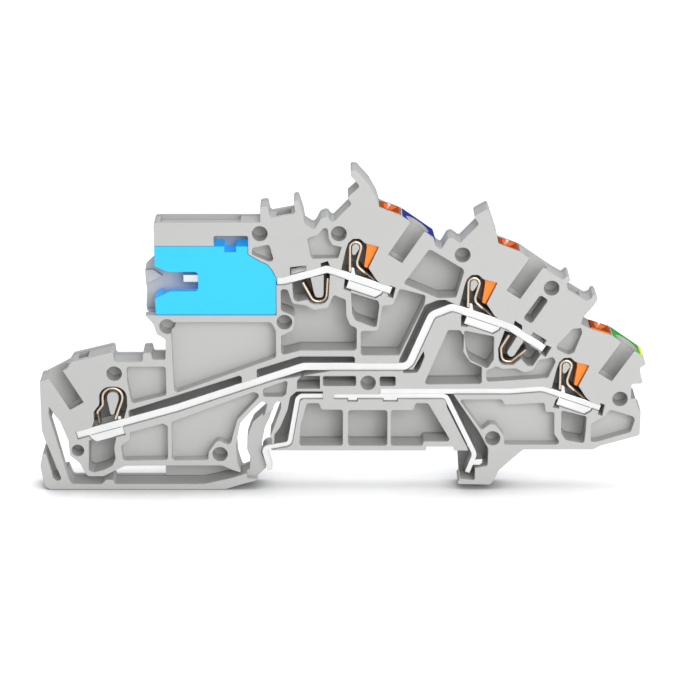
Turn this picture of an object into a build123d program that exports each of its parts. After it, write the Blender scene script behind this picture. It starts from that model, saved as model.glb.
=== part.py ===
"""Three-level installation terminal block for a 35 mm rail.

The housing is one moulding, open on one side (towards -Y) and closed by a thin back wall. Three
spring clamps step down to the right, for neutral (n), live (l) and earth (pe), and a fourth clamp
sits low on the left. X runs along the block, Z up from the rail, Y across the block's width. The
origin is the centre of the rail seat. Every outline lies in the side plane as (x, z) points, and a
third number is the radius of that corner.
"""
import math
import os

from build123d import *

# Block
BLOCK_WIDTH = 5.2
WEB_THICK = 1.0
DEEP_WEB_THICK = 0.55
SHALLOW_DEPTH = 2.1
SMALLEST_ARC = 0.55
SHARP_BELOW = 0.25
CUT_SHARE = 0.8
FRONT = -BLOCK_WIDTH / 2
BACK = BLOCK_WIDTH / 2
WEB_FACE = BACK - WEB_THICK
DEEP_FLOOR = BACK - DEEP_WEB_THICK
SHALLOW_FLOOR = FRONT + SHALLOW_DEPTH
BEYOND = 1.0

# Rail that the foot grips
RAIL_WIDTH = 35.0
RAIL_THICK = 1.0
RAIL_PLAY = 0.2
RAIL_EDGE = RAIL_WIDTH / 2
HOOK_EDGE = RAIL_EDGE + RAIL_PLAY
HOOK_LEVEL = -(RAIL_THICK + RAIL_PLAY)

# Current bars
BAR_FRONT_GAP = 0.4
BAR_WIDTH = 3.6
BAR_CLEAR = 0.05
N_BAR_THICK = 1.3
L_BAR_THICK = 1.35
PE_BAR_THICK = 1.05
FOOT_THICK = 0.85
BAR_FRONT = FRONT + BAR_FRONT_GAP
BAR_BACK = BAR_FRONT + BAR_WIDTH
BLADE_LEVEL = 31.3
FOOT_LEVEL = 10.1
FOOT_TOP = FOOT_LEVEL + FOOT_THICK / 2
FOOT_LUG_DROP = 0.4
FOOT_LUG_BOTTOM = FOOT_LEVEL - FOOT_THICK / 2 - FOOT_LUG_DROP

# Conductor window with its collar, in a bar
WINDOW_WIDTH = 2.8
WINDOW_PLAY = 0.15
WINDOW_START = -1.9
WINDOW_END = 2.9
COLLAR_START = -2.8
COLLAR_END = 3.3
COLLAR_FOOT_END = 2.45
COLLAR_DROP = 1.45

# Springs
SPRING_THICK = 0.4
SPRING_WIDTH = 3.2
SPRING_CLEAR = 0.15
SPRING_FRONT = BAR_FRONT + (BAR_WIDTH - SPRING_WIDTH) / 2
SPRING_BACK = SPRING_FRONT + SPRING_WIDTH
BOSS_FRONT = SPRING_FRONT

# Conductor entries
ENTRY_RADIUS = 2.4
ENTRY_TROUGH = 2.8
ENTRY_LENGTH = 6.9
GUIDE_RADIUS = 1.55
GUIDE_LENGTH = 4.6
TAPER_LENGTH = 0.7
TAPER_RADIUS = 1.9
ENTRY_Y = FRONT + math.sqrt(ENTRY_RADIUS ** 2 - (ENTRY_TROUGH / 2) ** 2)
ENTRY_TILT = 33.7
LEFT_ENTRY_TILT = -30.5

# Push buttons
BUTTON_TILT = 26.6
BUTTON_TRAVEL = 1.6
BUTTON_CLEAR = 0.08
BUTTON_HEAD_WIDTH = 3.9
BUTTON_HEAD_LENGTH = 2.6
BUTTON_HEAD_DEPTH = 4.1
BUTTON_HEAD_FRONT = FRONT + 0.5
BUTTON_SHAFT_LEFT = -1.36
BUTTON_SHAFT_RIGHT = 1.12
BUTTON_TIP = -10.95
BUTTON_TOP_SLANT = 0.25
DIMPLE_TOP = (3.0, 3.2)
DIMPLE_FLOOR = (0.7, 2.2)
DIMPLE_DEPTH = 1.1

# Sockets and pegs that line up neighbouring blocks
SOCKET_RADIUS = 1.35
SMALL_SOCKET_RADIUS = 1.1
SOCKET_DEPTH = 3.2
PEG_CLEAR = 0.15
PEG_LENGTH = 1.6
PEG_CHAMFER = 0.3

# Neutral slide
SLIDE_CLEAR = 0.1
SLIDE_FRONT_WALL = 1.3
SLIDE_WALL = 1.2
SLIDE_BACK = WEB_FACE - SLIDE_CLEAR
SLIDE_LEFT = -37.1
SLIDE_RIGHT = -16.35
SLIDE_BOTTOM = 25.25
SLIDE_TOP = 37.6
SLIDE_CEILING = 39.5
BLADE_WIDTH = 1.8
CONTACT_THICK = 0.4
CONTACT_LENGTH = 9.0
CONTACT_RIGHT = -20.2
CONTACT_CLEAR = 0.05

# Entry frames
FRAME_THICK = 0.8
FRAME_FRONT_GAP = 0.5
FRAME_BACK_GAP = 0.3

# Jumper slots
JUMPER_LENGTH = 2.6
JUMPER_WIDTH = 2.8

# Where the middle of each clamp's window lies on its bar
N_CLAMP = (-0.9, 31.1)
L_CLAMP = (19.5, 24.6)
PE_CLAMP = (35.8, 9.45)
CLAMP_TILT = 19.5
LEFT_CLAMP = (-46.3, 4.27)
LEFT_CLAMP_TILT = -16.25
BAR_END = 4.67
L_BAR_LEVEL = 15.6
PE_BAR_LEVEL = FOOT_TOP + PE_BAR_THICK / 2


def shifted(points, origin):
    """Points moved by an origin, radii kept."""
    return [(point[0] + origin[0], point[1] + origin[1], *point[2:]) for point in points]


def turned(points, origin, tilt):
    """Points of a frame tilted clockwise by tilt degrees, in the block's own frame."""
    sine = math.sin(math.radians(tilt))
    cosine = math.cos(math.radians(tilt))
    result = []
    for point in points:
        across, along = point[0], point[1]
        result.append((origin[0] + across * cosine + along * sine,
                       origin[1] - across * sine + along * cosine, *point[2:]))
    return result


def on_bar(clamp, tilt, distance, *radius):
    """Point of a bar's middle line, at a distance from the middle of a clamp's window."""
    return turned([(distance, 0.0, *radius)], clamp, tilt)[0]


def beside(clamp, right, up, *radius):
    """Point given by its place beside the middle of a clamp's window."""
    return shifted([(right, up, *radius)], clamp)[0]


# Strip over the slide, with a trough in its top face: left, right, margin and depth
STRIP_TOP = 41.9
STRIP_TROUGH = (-36.0, -22.3, 0.55, 0.7)

# Outline of the moulding, from the left end over the top and back along the foot
HOUSING_OUTLINE = [
    (-57.6, 6.8), (-57.6, 13.2, 0.4), (-56.9, 13.1, 0.2), (-52.7, 15.4, 0.2), (-51.9, 16.6, 0.5),
    (-44.7, 18.4, 0.3), (-44.5, 16.6, 0.3), (-39.6, 16.6, 0.3), (-39.5, 18.2, 0.3),
    (-38.1, 18.3, 0.3), (-37.9, 17.0, 0.3), (-35.6, 17.0, 0.3), (-35.5, 20.8, 0.6),
    (-37.0, 21.7, 0.8), (-37.5, 23.5, 0.6), (-39.0, 25.3, 0.6), (-38.8, 28.4), (-39.0, 31.3, 0.6),
    (-38.9, 33.0, 0.5), (-37.1, 34.8), (-37.1, STRIP_TOP, 0.6), (-18.9, STRIP_TOP, 0.2),
    (-18.9, 44.6, 0.3), (-17.6, 44.8, 0.3), (-17.2, 42.7, 0.4),
    (-12.9, 43.5, 0.4), (-13.2, 45.7, 0.3), (-12.4, 45.9, 0.3), (-11.6, 43.4), (-11.3, 41.6, 0.4),
    (-9.7, 40.5, 0.6), (-8.6, 42.6, 0.4), (-7.5, 43.0, 0.4), (-6.6, 41.8, 0.4), (-3.3, 45.2, 0.3),
    (-4.1, 46.3, 0.3), (-1.9, 48.3, 0.4), (-3.5, 50.2, 0.3), (-3.5, 51.2, 0.3), (-2.5, 51.1, 0.3),
    (-0.4, 48.7), (0.9, 46.3), (1.4, 44.6, 0.3), (5.1, 43.1), (10.7, 39.15, 0.5), (11.1, 37.7),
    (12.0, 37.0, 0.3), (13.1, 39.0, 0.3), (13.8, 39.2, 0.2), (15.2, 38.2, 0.3), (18.4, 41.6, 0.3),
    (17.5, 43.0, 0.3), (19.9, 44.4, 0.3), (21.5, 39.5), (21.8, 38.1, 0.3), (25.6, 36.6),
    (31.1, 32.75, 0.5), (33.0, 31.6, 0.3), (33.9, 32.5, 0.3), (34.3, 31.5, 0.3), (33.7, 31.0, 0.3),
    (33.9, 29.8, 0.3), (37.1, 27.8, 0.4), (37.9, 28.1, 0.3), (38.4, 29.2, 0.3), (39.1, 28.2, 0.3),
    (38.6, 27.2), (36.7, 24.8), (36.3, 23.6, 0.3), (38.2, 22.6), (41.8, 21.4),
    (47.4, 17.45, 0.5), (47.9, 16.1, 0.4), (46.9, 15.6, 0.3), (47.0, 14.4), (47.5, 12.6, 0.3),
    (45.5, 12.5, 0.3), (45.5, 9.7, 0.2), (46.3, 9.8, 0.2), (46.9, 7.8, 0.3), (47.3, 7.6, 0.3),
    (47.3, 2.9, 0.5), (40.4, 0.9, 1.0), (39.2, 0.2, 0.5), (26.9, 0.2, 0.6), (22.7, -3.7, 0.6),
    (21.9, -5.6, 0.5), (21.2, -6.5, 0.5), (15.2, -6.4, 0.3), (15.8, -5.6, 0.3), (15.5, HOOK_LEVEL, 0.2),
    (HOOK_EDGE, HOOK_LEVEL), (HOOK_EDGE, 0.0), (14.7, 0.0), (14.6, 0.75), (9.9, 0.75), (9.8, 0.0),
    (-17.4, 0.0), (-17.2, 2.1, 0.2), (-17.6, 2.6, 0.3), (-17.2, 3.5), (-15.6, 8.0), (-15.6, 9.1, 0.3),
    (-16.3, 9.3, 0.3), (-16.8, 8.6, 0.5), (-17.6, 5.8), (-18.5, 3.9), (-19.0, 1.4, 1.0),
    (-19.2, -1.0, 1.0), (-18.3, -3.3, 0.4), (-18.4, -3.9, 0.4), (-20.3, -5.8, 1.5), (-22.5, -6.4),
    (-25.6, -7.4, 0.8), (-56.6, -7.4, 0.5), (-57.4, -6.9, 0.4), (-57.7, -5.6), (-58.1, -2.9, 1.0),
    (-57.6, -0.6, 0.3), (-57.0, -0.7, 0.2), (-55.9, -5.3, 0.2), (-55.0, -6.1, 0.5),
    (-54.5, -5.3, 0.4), (-56.5, 0.4), (-57.1, 2.0), (-57.6, 3.9, 0.8),
]

# Openings right through the moulding: beside the lever, and behind the latch finger
LEVER_GAP = [
    (-56.2, 8.3, 0.2), (-55.2, 6.7), (-54.3, 5.5), (-53.5, 3.3), (-53.0, 2.0), (-52.8, -0.9, 0.6),
    (-51.1, -2.4, 0.5), (-50.3, -4.1), (-49.8, -4.9, 0.5), (-47.0, -4.9, 0.5), (-44.4, -3.5, 0.5),
    (-43.2, -2.9, 0.5), (-36.3, -2.85), (-36.3, -6.4), (-45.0, -6.4), (-45.4, -5.6, 0.3),
    (-46.6, -5.6, 0.3), (-47.4, -6.4), (-52.8, -6.4, 0.7), (-53.5, -4.4), (-55.3, 2.9),
    (-56.3, 6.7),
]
FINGER_GAP = [
    (-18.9, 9.3, 0.3), (-20.6, 7.7, 0.8), (-22.8, 5.2, 0.8), (-23.6, 1.0, 1.5), (-23.4, -2.0, 0.8),
    (-22.6, -4.7, 0.3), (-21.3, -4.1, 0.3), (-21.1, -1.9, 0.4), (-21.7, -0.3, 1.5), (-21.6, 2.0),
    (-21.1, 3.5, 1.0), (-20.5, 4.9, 0.5), (-18.4, 6.9, 0.6), (-17.95, 8.8, 0.3),
]

# The lever is thinner behind: middle line, width and front of what is taken off
LEVER_RELIEF = [(-55.8, 5.6), (-55.1, 2.9, 3.0), (-53.4, -4.2)]
LEVER_RELIEF_WIDTH = 1.6
LEVER_RELIEF_FRONT = -0.5

# Pocket between the underside and the bottom arm, closed by the web only
ARM_POCKET = [
    (-36.4, -2.85), (-26.1, -2.85, 0.5), (-24.3, -3.7, 0.8), (-22.9, -4.15, 0.3),
    (-22.35, -3.3, 0.2), (-22.4, -2.5), (-21.5, -2.8), (-21.5, -3.4), (-22.5, -4.6, 0.3),
    (-24.4, -5.25, 0.5), (-29.1, -6.35, 1.0), (-31.0, -6.4), (-36.4, -6.4),
]
FINGER_STEP = [
    (-22.2, 3.9), (-19.0, 6.4), (-17.1, 7.6), (-16.6, 7.2), (-18.0, 3.5), (-18.6, 1.4),
    (-18.9, -0.9), (-18.0, -3.4), (-19.0, -5.4), (-21.6, -5.3), (-22.0, -3.0), (-21.0, -2.0),
    (-22.4, 0.0),
]
FINGER_STEP_DEPTH = 1.5

# Shallow pockets of the front face
SHALLOW_POCKETS = [
    [(-42.4, 15.7, 0.4), (-35.6, 15.7, 0.4), (-35.6, 10.4, 0.4), (-41.7, 8.8, 0.4), (-42.4, 13.2)],
    [(-42.1, 3.4, 0.3), (-36.3, 5.1, 0.4), (-35.5, 4.6, 0.3), (-35.6, -1.8, 0.4),
     (-43.5, -1.9, 0.4), (-43.8, 0.9, 0.4), (-42.2, 2.0, 0.3)],
    [(-34.6, 23.9, 0.8), (-17.2, 23.9, 0.8), (-16.4, 22.3), (-16.4, 17.4, 0.4), (-34.2, 10.7, 0.5)],
    [(-34.8, 5.4, 0.4), (-20.4, 11.0, 0.5), (-19.4, 10.6, 0.4), (-19.6, 9.9), (-23.3, 5.8, 0.8),
     (-24.6, 0.9, 0.5), (-26.8, 2.0, 0.8), (-28.4, -0.3, 0.6), (-28.5, -1.8, 0.3),
     (-34.9, -1.9, 0.5)],
    [(15.5, 9.6, 0.3), (23.0, 9.6, 0.3), (23.5, 8.6, 0.2), (30.4, 9.0, 0.3), (30.7, 7.3, 0.2),
     (32.2, 7.2, 0.3), (32.3, 3.1, 0.4), (33.3, 1.6, 0.3), (32.8, 1.1, 0.3), (23.5, 1.1, 0.3),
     (23.5, 2.7, 0.8), (22.0, 4.8, 0.8), (21.0, 5.0, 0.4), (19.5, 3.8, 0.3)],
    [(20.1, 14.9, 0.3), (21.9, 15.8, 0.3), (22.9, 15.3, 0.3), (25.3, 15.4, 0.4), (26.8, 14.6, 0.3),
     (28.3, 15.1, 0.3), (29.2, 16.9, 0.3), (31.7, 17.5, 0.3), (32.2, 16.6, 0.3), (30.9, 13.6, 0.4),
     (20.2, 12.9, 0.4)],
    [(35.0, 22.7, 0.3), (36.4, 22.8, 0.2), (36.6, 21.9, 0.3), (35.3, 18.3, 0.3), (34.3, 17.9, 0.3),
     (32.5, 18.8, 0.4), (32.2, 19.5, 0.3)],
    [(38.7, 1.6, 0.3), (40.0, 1.7), (45.7, 3.5, 0.5), (46.4, 5.9, 0.5), (45.8, 6.5, 0.3),
     (41.9, 7.7, 0.4), (41.2, 6.6, 0.4), (38.7, 5.0, 0.4)],
    [(-20.3, 37.3, 0.3), (-17.4, 38.0, 0.4), (-16.6, 35.0, 0.4), (-17.6, 34.9, 0.3),
     (-20.4, 36.2, 0.3)],
    [(-10.9, 39.1, 0.3), (-9.1, 39.7, 0.4), (-8.0, 41.0, 0.3), (-7.4, 40.7, 0.2),
     (-7.2, 39.0, 0.8), (-6.6, 37.9, 0.6), (-5.0, 37.5, 0.2), (-5.6, 35.5, 0.3),
     (-10.2, 35.4, 0.4)],
    [(-18.7, 11.6, 0.3), (-14.4, 13.2, 0.3), (-14.7, 10.6, 0.3), (-15.3, 10.1, 0.3),
     (-18.7, 10.1, 0.3)],
]

# Pockets down to the thin back wall
DEEP_POCKETS = [
    [(-6.4, 28.9, 0.3), (-4.3, 28.0, 0.3), (-4.2, 25.0), (-3.6, 23.4, 0.6), (-2.4, 22.8, 0.3),
     (-2.4, 18.7, 0.5), (-12.2, 18.7), (-15.5, 17.8, 0.4), (-15.5, 21.4, 0.3),
     (-13.4, 22.4, 0.8), (-13.1, 25.0, 0.9), (-15.5, 26.0, 0.4), (-15.5, 30.0, 0.4),
     (-14.3, 29.8, 0.3), (-13.5, 27.3, 0.5), (-11.3, 27.0), (-9.7, 26.1, 0.8), (-7.4, 26.6, 0.5)],
    [(5.0, 30.0, 0.3), (9.5, 28.8, 0.4), (9.3, 27.3), (5.0, 17.8, 0.4), (-1.7, 17.8, 0.4),
     (-1.7, 22.3, 0.4), (1.3, 22.3, 0.5), (2.0, 26.9, 0.4), (3.8, 27.1, 0.4)],
    [(9.9, 37.0, 0.2), (10.5, 36.9), (15.8, 33.6, 0.3), (16.0, 33.0), (14.7, 28.4, 0.3),
     (11.6, 28.3), (5.6, 30.9, 0.3)],
    [(13.4, 22.5, 0.3), (15.5, 22.4, 0.3), (16.2, 21.4), (16.1, 18.4, 0.5), (17.3, 16.6, 0.4),
     (19.4, 15.6, 0.3), (19.4, 12.5, 0.4), (9.3, 12.4, 0.4)],
    [(16.1, 22.4, 0.3), (21.4, 21.3, 0.3), (21.4, 17.0, 0.5), (20.3, 15.3, 0.4),
     (17.2, 17.0, 0.5), (16.6, 18.6)],
    [(-3.4, 29.3, 0.2), (1.3, 27.8, 0.3), (1.5, 26.8), (1.0, 22.8, 0.4), (-2.6, 24.2, 0.4),
     (-3.2, 25.4)],
    [(33.4, 7.6, 0.3), (37.9, 6.4, 0.3), (37.8, 3.9), (37.6, 1.3, 0.4), (34.3, 2.0, 0.5),
     (33.5, 3.3)],
    [(-49.4, 1.9, 0.2), (-49.6, -3.8, 0.3), (-48.7, -4.2, 0.3), (-46.9, -3.7), (-45.4, -2.9, 0.4),
     (-44.8, -1.6, 0.5), (-45.0, 0.5), (-44.6, 2.4, 0.2)],
    [(-12.5, 0.9, 0.4), (-12.2, 4.8), (-11.1, 8.9, 0.4), (-9.0, 8.9, 0.3), (-8.5, 7.7, 0.3),
     (-4.8, 7.7, 0.4), (-4.8, 0.9, 0.4)],
    [(-3.9, 7.6, 0.4), (3.0, 7.6, 0.4), (3.0, 0.9, 0.4), (-3.9, 0.9, 0.4)],
    [(3.6, 7.6, 0.4), (7.5, 7.6, 0.3), (7.9, 8.9, 0.3), (10.1, 8.9, 0.4), (14.2, 1.7, 0.4),
     (9.3, 1.7, 0.3), (9.3, 0.9, 0.3), (3.6, 0.9, 0.4)],
    [(-12.8, 13.0, 0.2), (-12.1, 14.0, 0.3), (-8.8, 14.0, 0.2), (-8.8, 11.6, 0.2),
     (-12.8, 11.6, 0.2)],
    [(-8.3, 12.1, 0.3), (-8.3, 14.0, 0.3), (-2.5, 14.0, 0.3), (-2.5, 12.1, 0.3)],
    [(1.6, 12.1, 0.3), (1.6, 13.9, 0.3), (4.4, 13.9, 0.3), (4.4, 12.1, 0.3)],
    [(5.7, 15.1), (7.4, 15.2), (9.2, 18.6), (9.4, 17.6), (8.7, 15.6, 0.4), (8.1, 14.6, 0.3),
     (5.7, 14.5, 0.2)],
    [(26.4, 18.4), (27.2, 19.9), (29.2, 18.6, 0.2), (29.5, 17.9, 0.2), (28.2, 15.8, 0.3),
     (27.2, 15.9, 0.3), (26.1, 17.2, 0.2)],
    [(29.2, 28.9, 0.4), (30.6, 27.9, 0.4), (27.8, 23.6, 0.4), (26.3, 24.6, 0.4)],
]

# Free space beside the bars, as deep as the bars themselves
BAR_SPACES = [
    [(-42.4, 7.5, 0.4), (-42.0, 4.8), (-22.4, 11.6), (-22.4, 14.2, 0.4)],
    [(-19.8, 15.2, 0.3), (-12.4, 17.6, 0.5), (-2.7, 17.6, 0.4), (-2.7, 15.6), (-19.8, 12.6)],
    [(4.9, 15.8), (5.0, 17.0, 0.3), (9.3, 27.0, 0.8), (11.4, 27.9, 0.8), (12.8, 28.0, 0.8),
     (16.4, 26.3), (16.0, 25.0), (14.2, 26.0), (11.0, 25.0), (7.0, 15.8)],
    [(-8.1, 9.8), (-8.1, 11.1, 0.3), (-12.9, 11.1, 0.6), (-14.0, 10.1, 0.6), (-14.5, 7.6),
     (-15.8, 4.4, 0.6), (-16.8, 3.0, 0.5), (-16.9, 1.1), (-14.0, 1.2), (-12.8, 9.6)],
    [(-13.6, 31.4), (-13.3, 28.0, 0.4), (-12.6, 27.65, 0.2), (-10.9, 28.0, 0.2), (-10.3, 27.15, 1.2),
     (-7.35, 27.15, 1.55), (-7.0, 32.9), (-9.0, 32.8)],
    [(23.2, 22.4), (22.1, 19.0, 1.2), (22.35, 16.05, 1.2), (24.7, 15.95, 0.8), (26.3, 17.3, 0.2),
     (27.2, 18.6), (27.9, 20.5)],
    [(-13.9, 32.2), (-13.9, 33.9, 0.2), (-11.1, 34.2, 0.2), (-11.1, 32.4)],
    [(-8.6, 33.2), (-8.6, 34.6, 0.2), (-7.4, 35.0, 0.2), (-6.6, 33.2)],
    [(24.5, 22.5), (24.9, 24.2, 0.2), (26.2, 23.3, 0.2), (26.2, 21.5)],
    [(27.4, 20.6), (28.1, 22.1, 0.2), (30.5, 20.6, 0.2), (29.8, 19.2)],
    [(3.3, 30.6), (4.3, 30.2, 0.2), (3.8, 28.2, 0.2), (2.9, 28.6)],
    [(-3.6, 32.0), (-4.5, 31.6), (-4.7, 29.9, 0.2), (-3.4, 29.4)],
    [(16.4, 25.4), (15.6, 25.1, 0.2), (15.6, 23.1, 0.2), (16.8, 23.0)],
    [(32.9, 10.0), (32.4, 9.6), (31.9, 8.1, 0.2), (33.0, 7.9)],
    [(40.2, 8.9), (41.0, 8.6, 0.2), (40.6, 6.5, 0.2), (39.8, 6.8)],
    [(30.2, 19.8), (31.4, 19.3, 0.2), (30.4, 17.5, 0.2), (29.4, 18.1)],
]

# Bosses left standing inside the springs of the jumper slots
JUMPER_BOSSES = [
    [(-10.35, 31.8), (-9.85, 29.3), (-9.5, 28.2, 0.6), (-8.15, 28.2, 0.6), (-8.1, 32.3)],
    [(23.7, 18.1, 0.3), (24.3, 17.1, 0.55), (25.0, 17.6, 0.3), (26.6, 20.3), (25.4, 21.1)],
]

LEG_RECESS = [
    (15.4, -1.1), (15.9, -5.4, 0.3), (18.5, -5.7, 0.3), (18.5, -3.4, 0.2), (20.7, -2.9, 0.3),
    (20.8, 0.3, 1.0), (19.1, 3.5), (14.4, 10.7, 0.3), (13.0, 10.7), (13.4, 8.0), (17.0, 0.6),
    (17.6, -1.1),
]

# Blind sockets of the front face, and which of them have a peg behind
SOCKETS = [
    (-44.6, 14.4), (-26.4, -0.7), (-35.2, 23.1), (-14.9, 23.9), (-19.0, 39.9), (-5.5, 39.9),
    (15.7, 36.1), (31.1, 30.1), (43.6, 9.7), (21.5, 2.3), (-0.4, 12.7),
]
SMALL_SOCKETS = [(-51.4, 0.0)]
PEGS = [(-44.6, 14.4), (-19.0, 39.9), (31.1, 30.1), (43.6, 9.7), (-26.4, -0.7)]

# Middle lines of the bars; the third number is the bend's radius
BLADE_PATH = [(-32.3, BLADE_LEVEL), (-16.0, BLADE_LEVEL)]
N_BAR_PATH = [
    (-16.1, BLADE_LEVEL), (-15.0, BLADE_LEVEL, 1.5), on_bar(N_CLAMP, CLAMP_TILT, -7.0, 1.3),
    on_bar(N_CLAMP, CLAMP_TILT, BAR_END),
]
L_BAR_PATH = [
    on_bar(LEFT_CLAMP, LEFT_CLAMP_TILT, -5.42), on_bar(LEFT_CLAMP, LEFT_CLAMP_TILT, 12.81, 30.0),
    (-11.7, L_BAR_LEVEL, 3.0), (6.6, L_BAR_LEVEL, 1.8), beside(L_CLAMP, -8.9, 0.5, 1.6),
    on_bar(L_CLAMP, CLAMP_TILT, -5.75, 1.5), on_bar(L_CLAMP, CLAMP_TILT, BAR_END, 5.0),
    beside(L_CLAMP, 10.6, -5.7),
]
PE_BAR_PATH = [
    (1.7, PE_BAR_LEVEL), (24.5, PE_BAR_LEVEL, 8.0), on_bar(PE_CLAMP, CLAMP_TILT, -6.15, 2.5),
    on_bar(PE_CLAMP, CLAMP_TILT, BAR_END),
]
FOOT_PATH = [
    (-RAIL_EDGE - 0.1, -3.8), (-RAIL_EDGE - 1.25, 0.3, 0.8), (-14.15, 1.15, 1.0),
    (-12.6, FOOT_LEVEL, 1.0), (13.2, FOOT_LEVEL, 1.1), (RAIL_EDGE + 0.95, -0.9, 1.5),
    (RAIL_EDGE - 0.35, -4.3),
]
FOOT_BARB = [
    (RAIL_EDGE + 0.1, -2.0), (RAIL_EDGE + 2.3, -1.8, 0.2), (RAIL_EDGE + 2.3, -2.5, 0.3),
    (RAIL_EDGE + 1.8, -2.9, 0.2), (RAIL_EDGE - 0.2, -2.9),
]
FOOT_LUGS = [(-3.1, 1.6), (3.5, 2.4)]
FOOT_BRIDGE = (-7.35, 1.9)

# Springs, in the frame of their clamp's window
SPRING_PATH = [
    (-2.7, 1.8), (-2.7, 7.1, 0.95), (-0.45, 7.1, 0.95), (-1.65, 2.94, 1.4), (1.9, -0.3),
]
SPRING_BOSS = [
    (-2.33, 4.8, 0.3), (-2.33, 6.75, 0.6), (-1.1, 6.75, 0.6), (-1.1, 5.9, 0.3), (-1.8, 4.8, 0.3),
]
STOP = [(-2.45, 1.1), (-2.45, 2.6), (-1.95, 2.4), (-1.75, 1.1)]
LEFT_SPRING_PATH = [
    (-44.7, 5.62), (-42.55, 11.45, 1.75), (-46.85, 11.45, 1.75), (-46.85, 8.3, 0.5),
    (-47.85, 7.0, 0.6), (-47.5, 4.5),
]
LEFT_SPRING_BOSS = [
    (-45.5, 6.5, 0.3), (-46.0, 9.2, 0.8), (-46.0, 10.75, 0.95), (-44.0, 10.75, 0.95),
    (-44.05, 9.2, 0.6), (-44.95, 6.5, 0.3),
]
LEFT_STOP = [(2.3, 0.3), (3.0, 0.3), (3.0, 1.25), (2.5, 1.25)]
CHAMBER = [
    (-4.2, 1.6), (-4.2, 2.3), (-3.4, 5.9), (-3.0, 7.1, 0.6), (-2.2, 7.9, 0.7), (-1.0, 7.9, 0.5),
    (-0.2, 7.15, 0.2), (2.25, 6.45, 0.2), (1.9, 5.6), (0.5, 2.6), (1.8, 0.6), (2.7, -0.3),
    (2.7, -0.9),
]
LEFT_CHAMBER = [
    (-49.0, 3.6), (-48.4, 5.6), (-48.45, 7.2, 0.6), (-47.4, 8.6, 0.4), (-47.35, 12.0, 2.1),
    (-42.5, 12.0, 2.1), (-42.5, 8.3, 0.6), (-43.4, 5.0),
]
N_JUMPER_SPRING_PATH = shifted(
    [(-10.8, -0.2), (-9.0, -3.65, 1.3), (-6.75, -3.65, 1.3), (-6.45, 0.6)], N_CLAMP)
L_JUMPER_SPRING_PATH = shifted(
    [(4.5, -3.3), (3.1, -5.7, 1.0), (3.4, -8.15, 1.1), (5.0, -8.2, 0.8), (7.5, -6.0)], L_CLAMP)

# Button, in its own frame: u across, v along its axis, from the middle of its top
BUTTON_TOP = (4.15, 12.75)

# Middle of each entry's mouth, in the frame of its clamp's window
ENTRY_MOUTH = (8.85, 10.05)
LEFT_ENTRY_MOUTH = (-54.8, 14.3)
FRAME_PATH = [(6.1, 11.5), (11.25, 7.82, 0.4), (11.6, 6.5)]
FRAME_FIT = 0.05

# Screwdriver slot of the left clamp, and jumper slots: top, foot of each
LEFT_SLOT = [(-50.2, 18.0), (-47.9, 9.0)]
LEFT_SLOT_LENGTH = 1.8
N_JUMPER_SLOT = shifted([(-14.2, 12.9), (-11.6, 2.4), (-11.3, -2.1)], N_CLAMP)
L_JUMPER_SLOT = shifted([(16.1, 5.4), (9.2, -4.5), (8.1, -6.0)], L_CLAMP)

# Slide and the free space it moves in
SLIDE_OUTLINE = [
    (SLIDE_LEFT, SLIDE_TOP, 0.3), (-21.1, SLIDE_TOP), (-21.1, 36.1), (-19.05, 34.85),
    (-17.85, 34.3, 0.5), (-17.1, 33.4), (SLIDE_RIGHT, 32.0, 0.4), (SLIDE_RIGHT, SLIDE_BOTTOM, 0.3),
    (SLIDE_LEFT, SLIDE_BOTTOM, 0.3), (-37.2, 28.2, 0.3), (-34.6, 29.5, 0.5), (-29.7, 29.5, 0.6),
    (-29.7, 33.0, 0.6), (-34.8, 33.0, 0.5), (SLIDE_LEFT, 34.0, 0.3),
]
SLIDE_CAVITY = [
    (SLIDE_LEFT + SLIDE_WALL, 35.9, 0.3), (-22.6, 35.9), (-22.3, 35.1), (-19.6, 33.6),
    (-18.3, 32.8), (SLIDE_RIGHT - SLIDE_WALL, 31.6),
    (SLIDE_RIGHT - SLIDE_WALL, SLIDE_BOTTOM + SLIDE_WALL, 0.3),
    (SLIDE_LEFT + SLIDE_WALL, SLIDE_BOTTOM + SLIDE_WALL, 0.3),
]
SLIDE_RECESS = [
    (-41.0, SLIDE_BOTTOM - SLIDE_CLEAR), (SLIDE_RIGHT + SLIDE_CLEAR, SLIDE_BOTTOM - SLIDE_CLEAR),
    (SLIDE_RIGHT + SLIDE_CLEAR, 32.05), (-17.0, 33.5), (-17.75, 34.42), (-18.95, 34.97),
    (-21.0, 36.2), (-21.0, SLIDE_CEILING, 0.3), (-26.9, SLIDE_CEILING, 0.3),
    (-26.9, SLIDE_TOP + SLIDE_CLEAR), (-41.0, SLIDE_TOP + SLIDE_CLEAR),
]
MOUTH_WEDGE = [(-39.0, 32.2), (-37.6, 32.3, 0.3), (-36.0, 31.2, 0.2), (-38.9, 29.7)]
MOUTH_WEDGE_HEIGHT = 0.8
DRIVER_GROOVE = (-24.1, 2.0, 1.0)
GUIDE_RIB = (1.0, 0.55)


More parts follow.
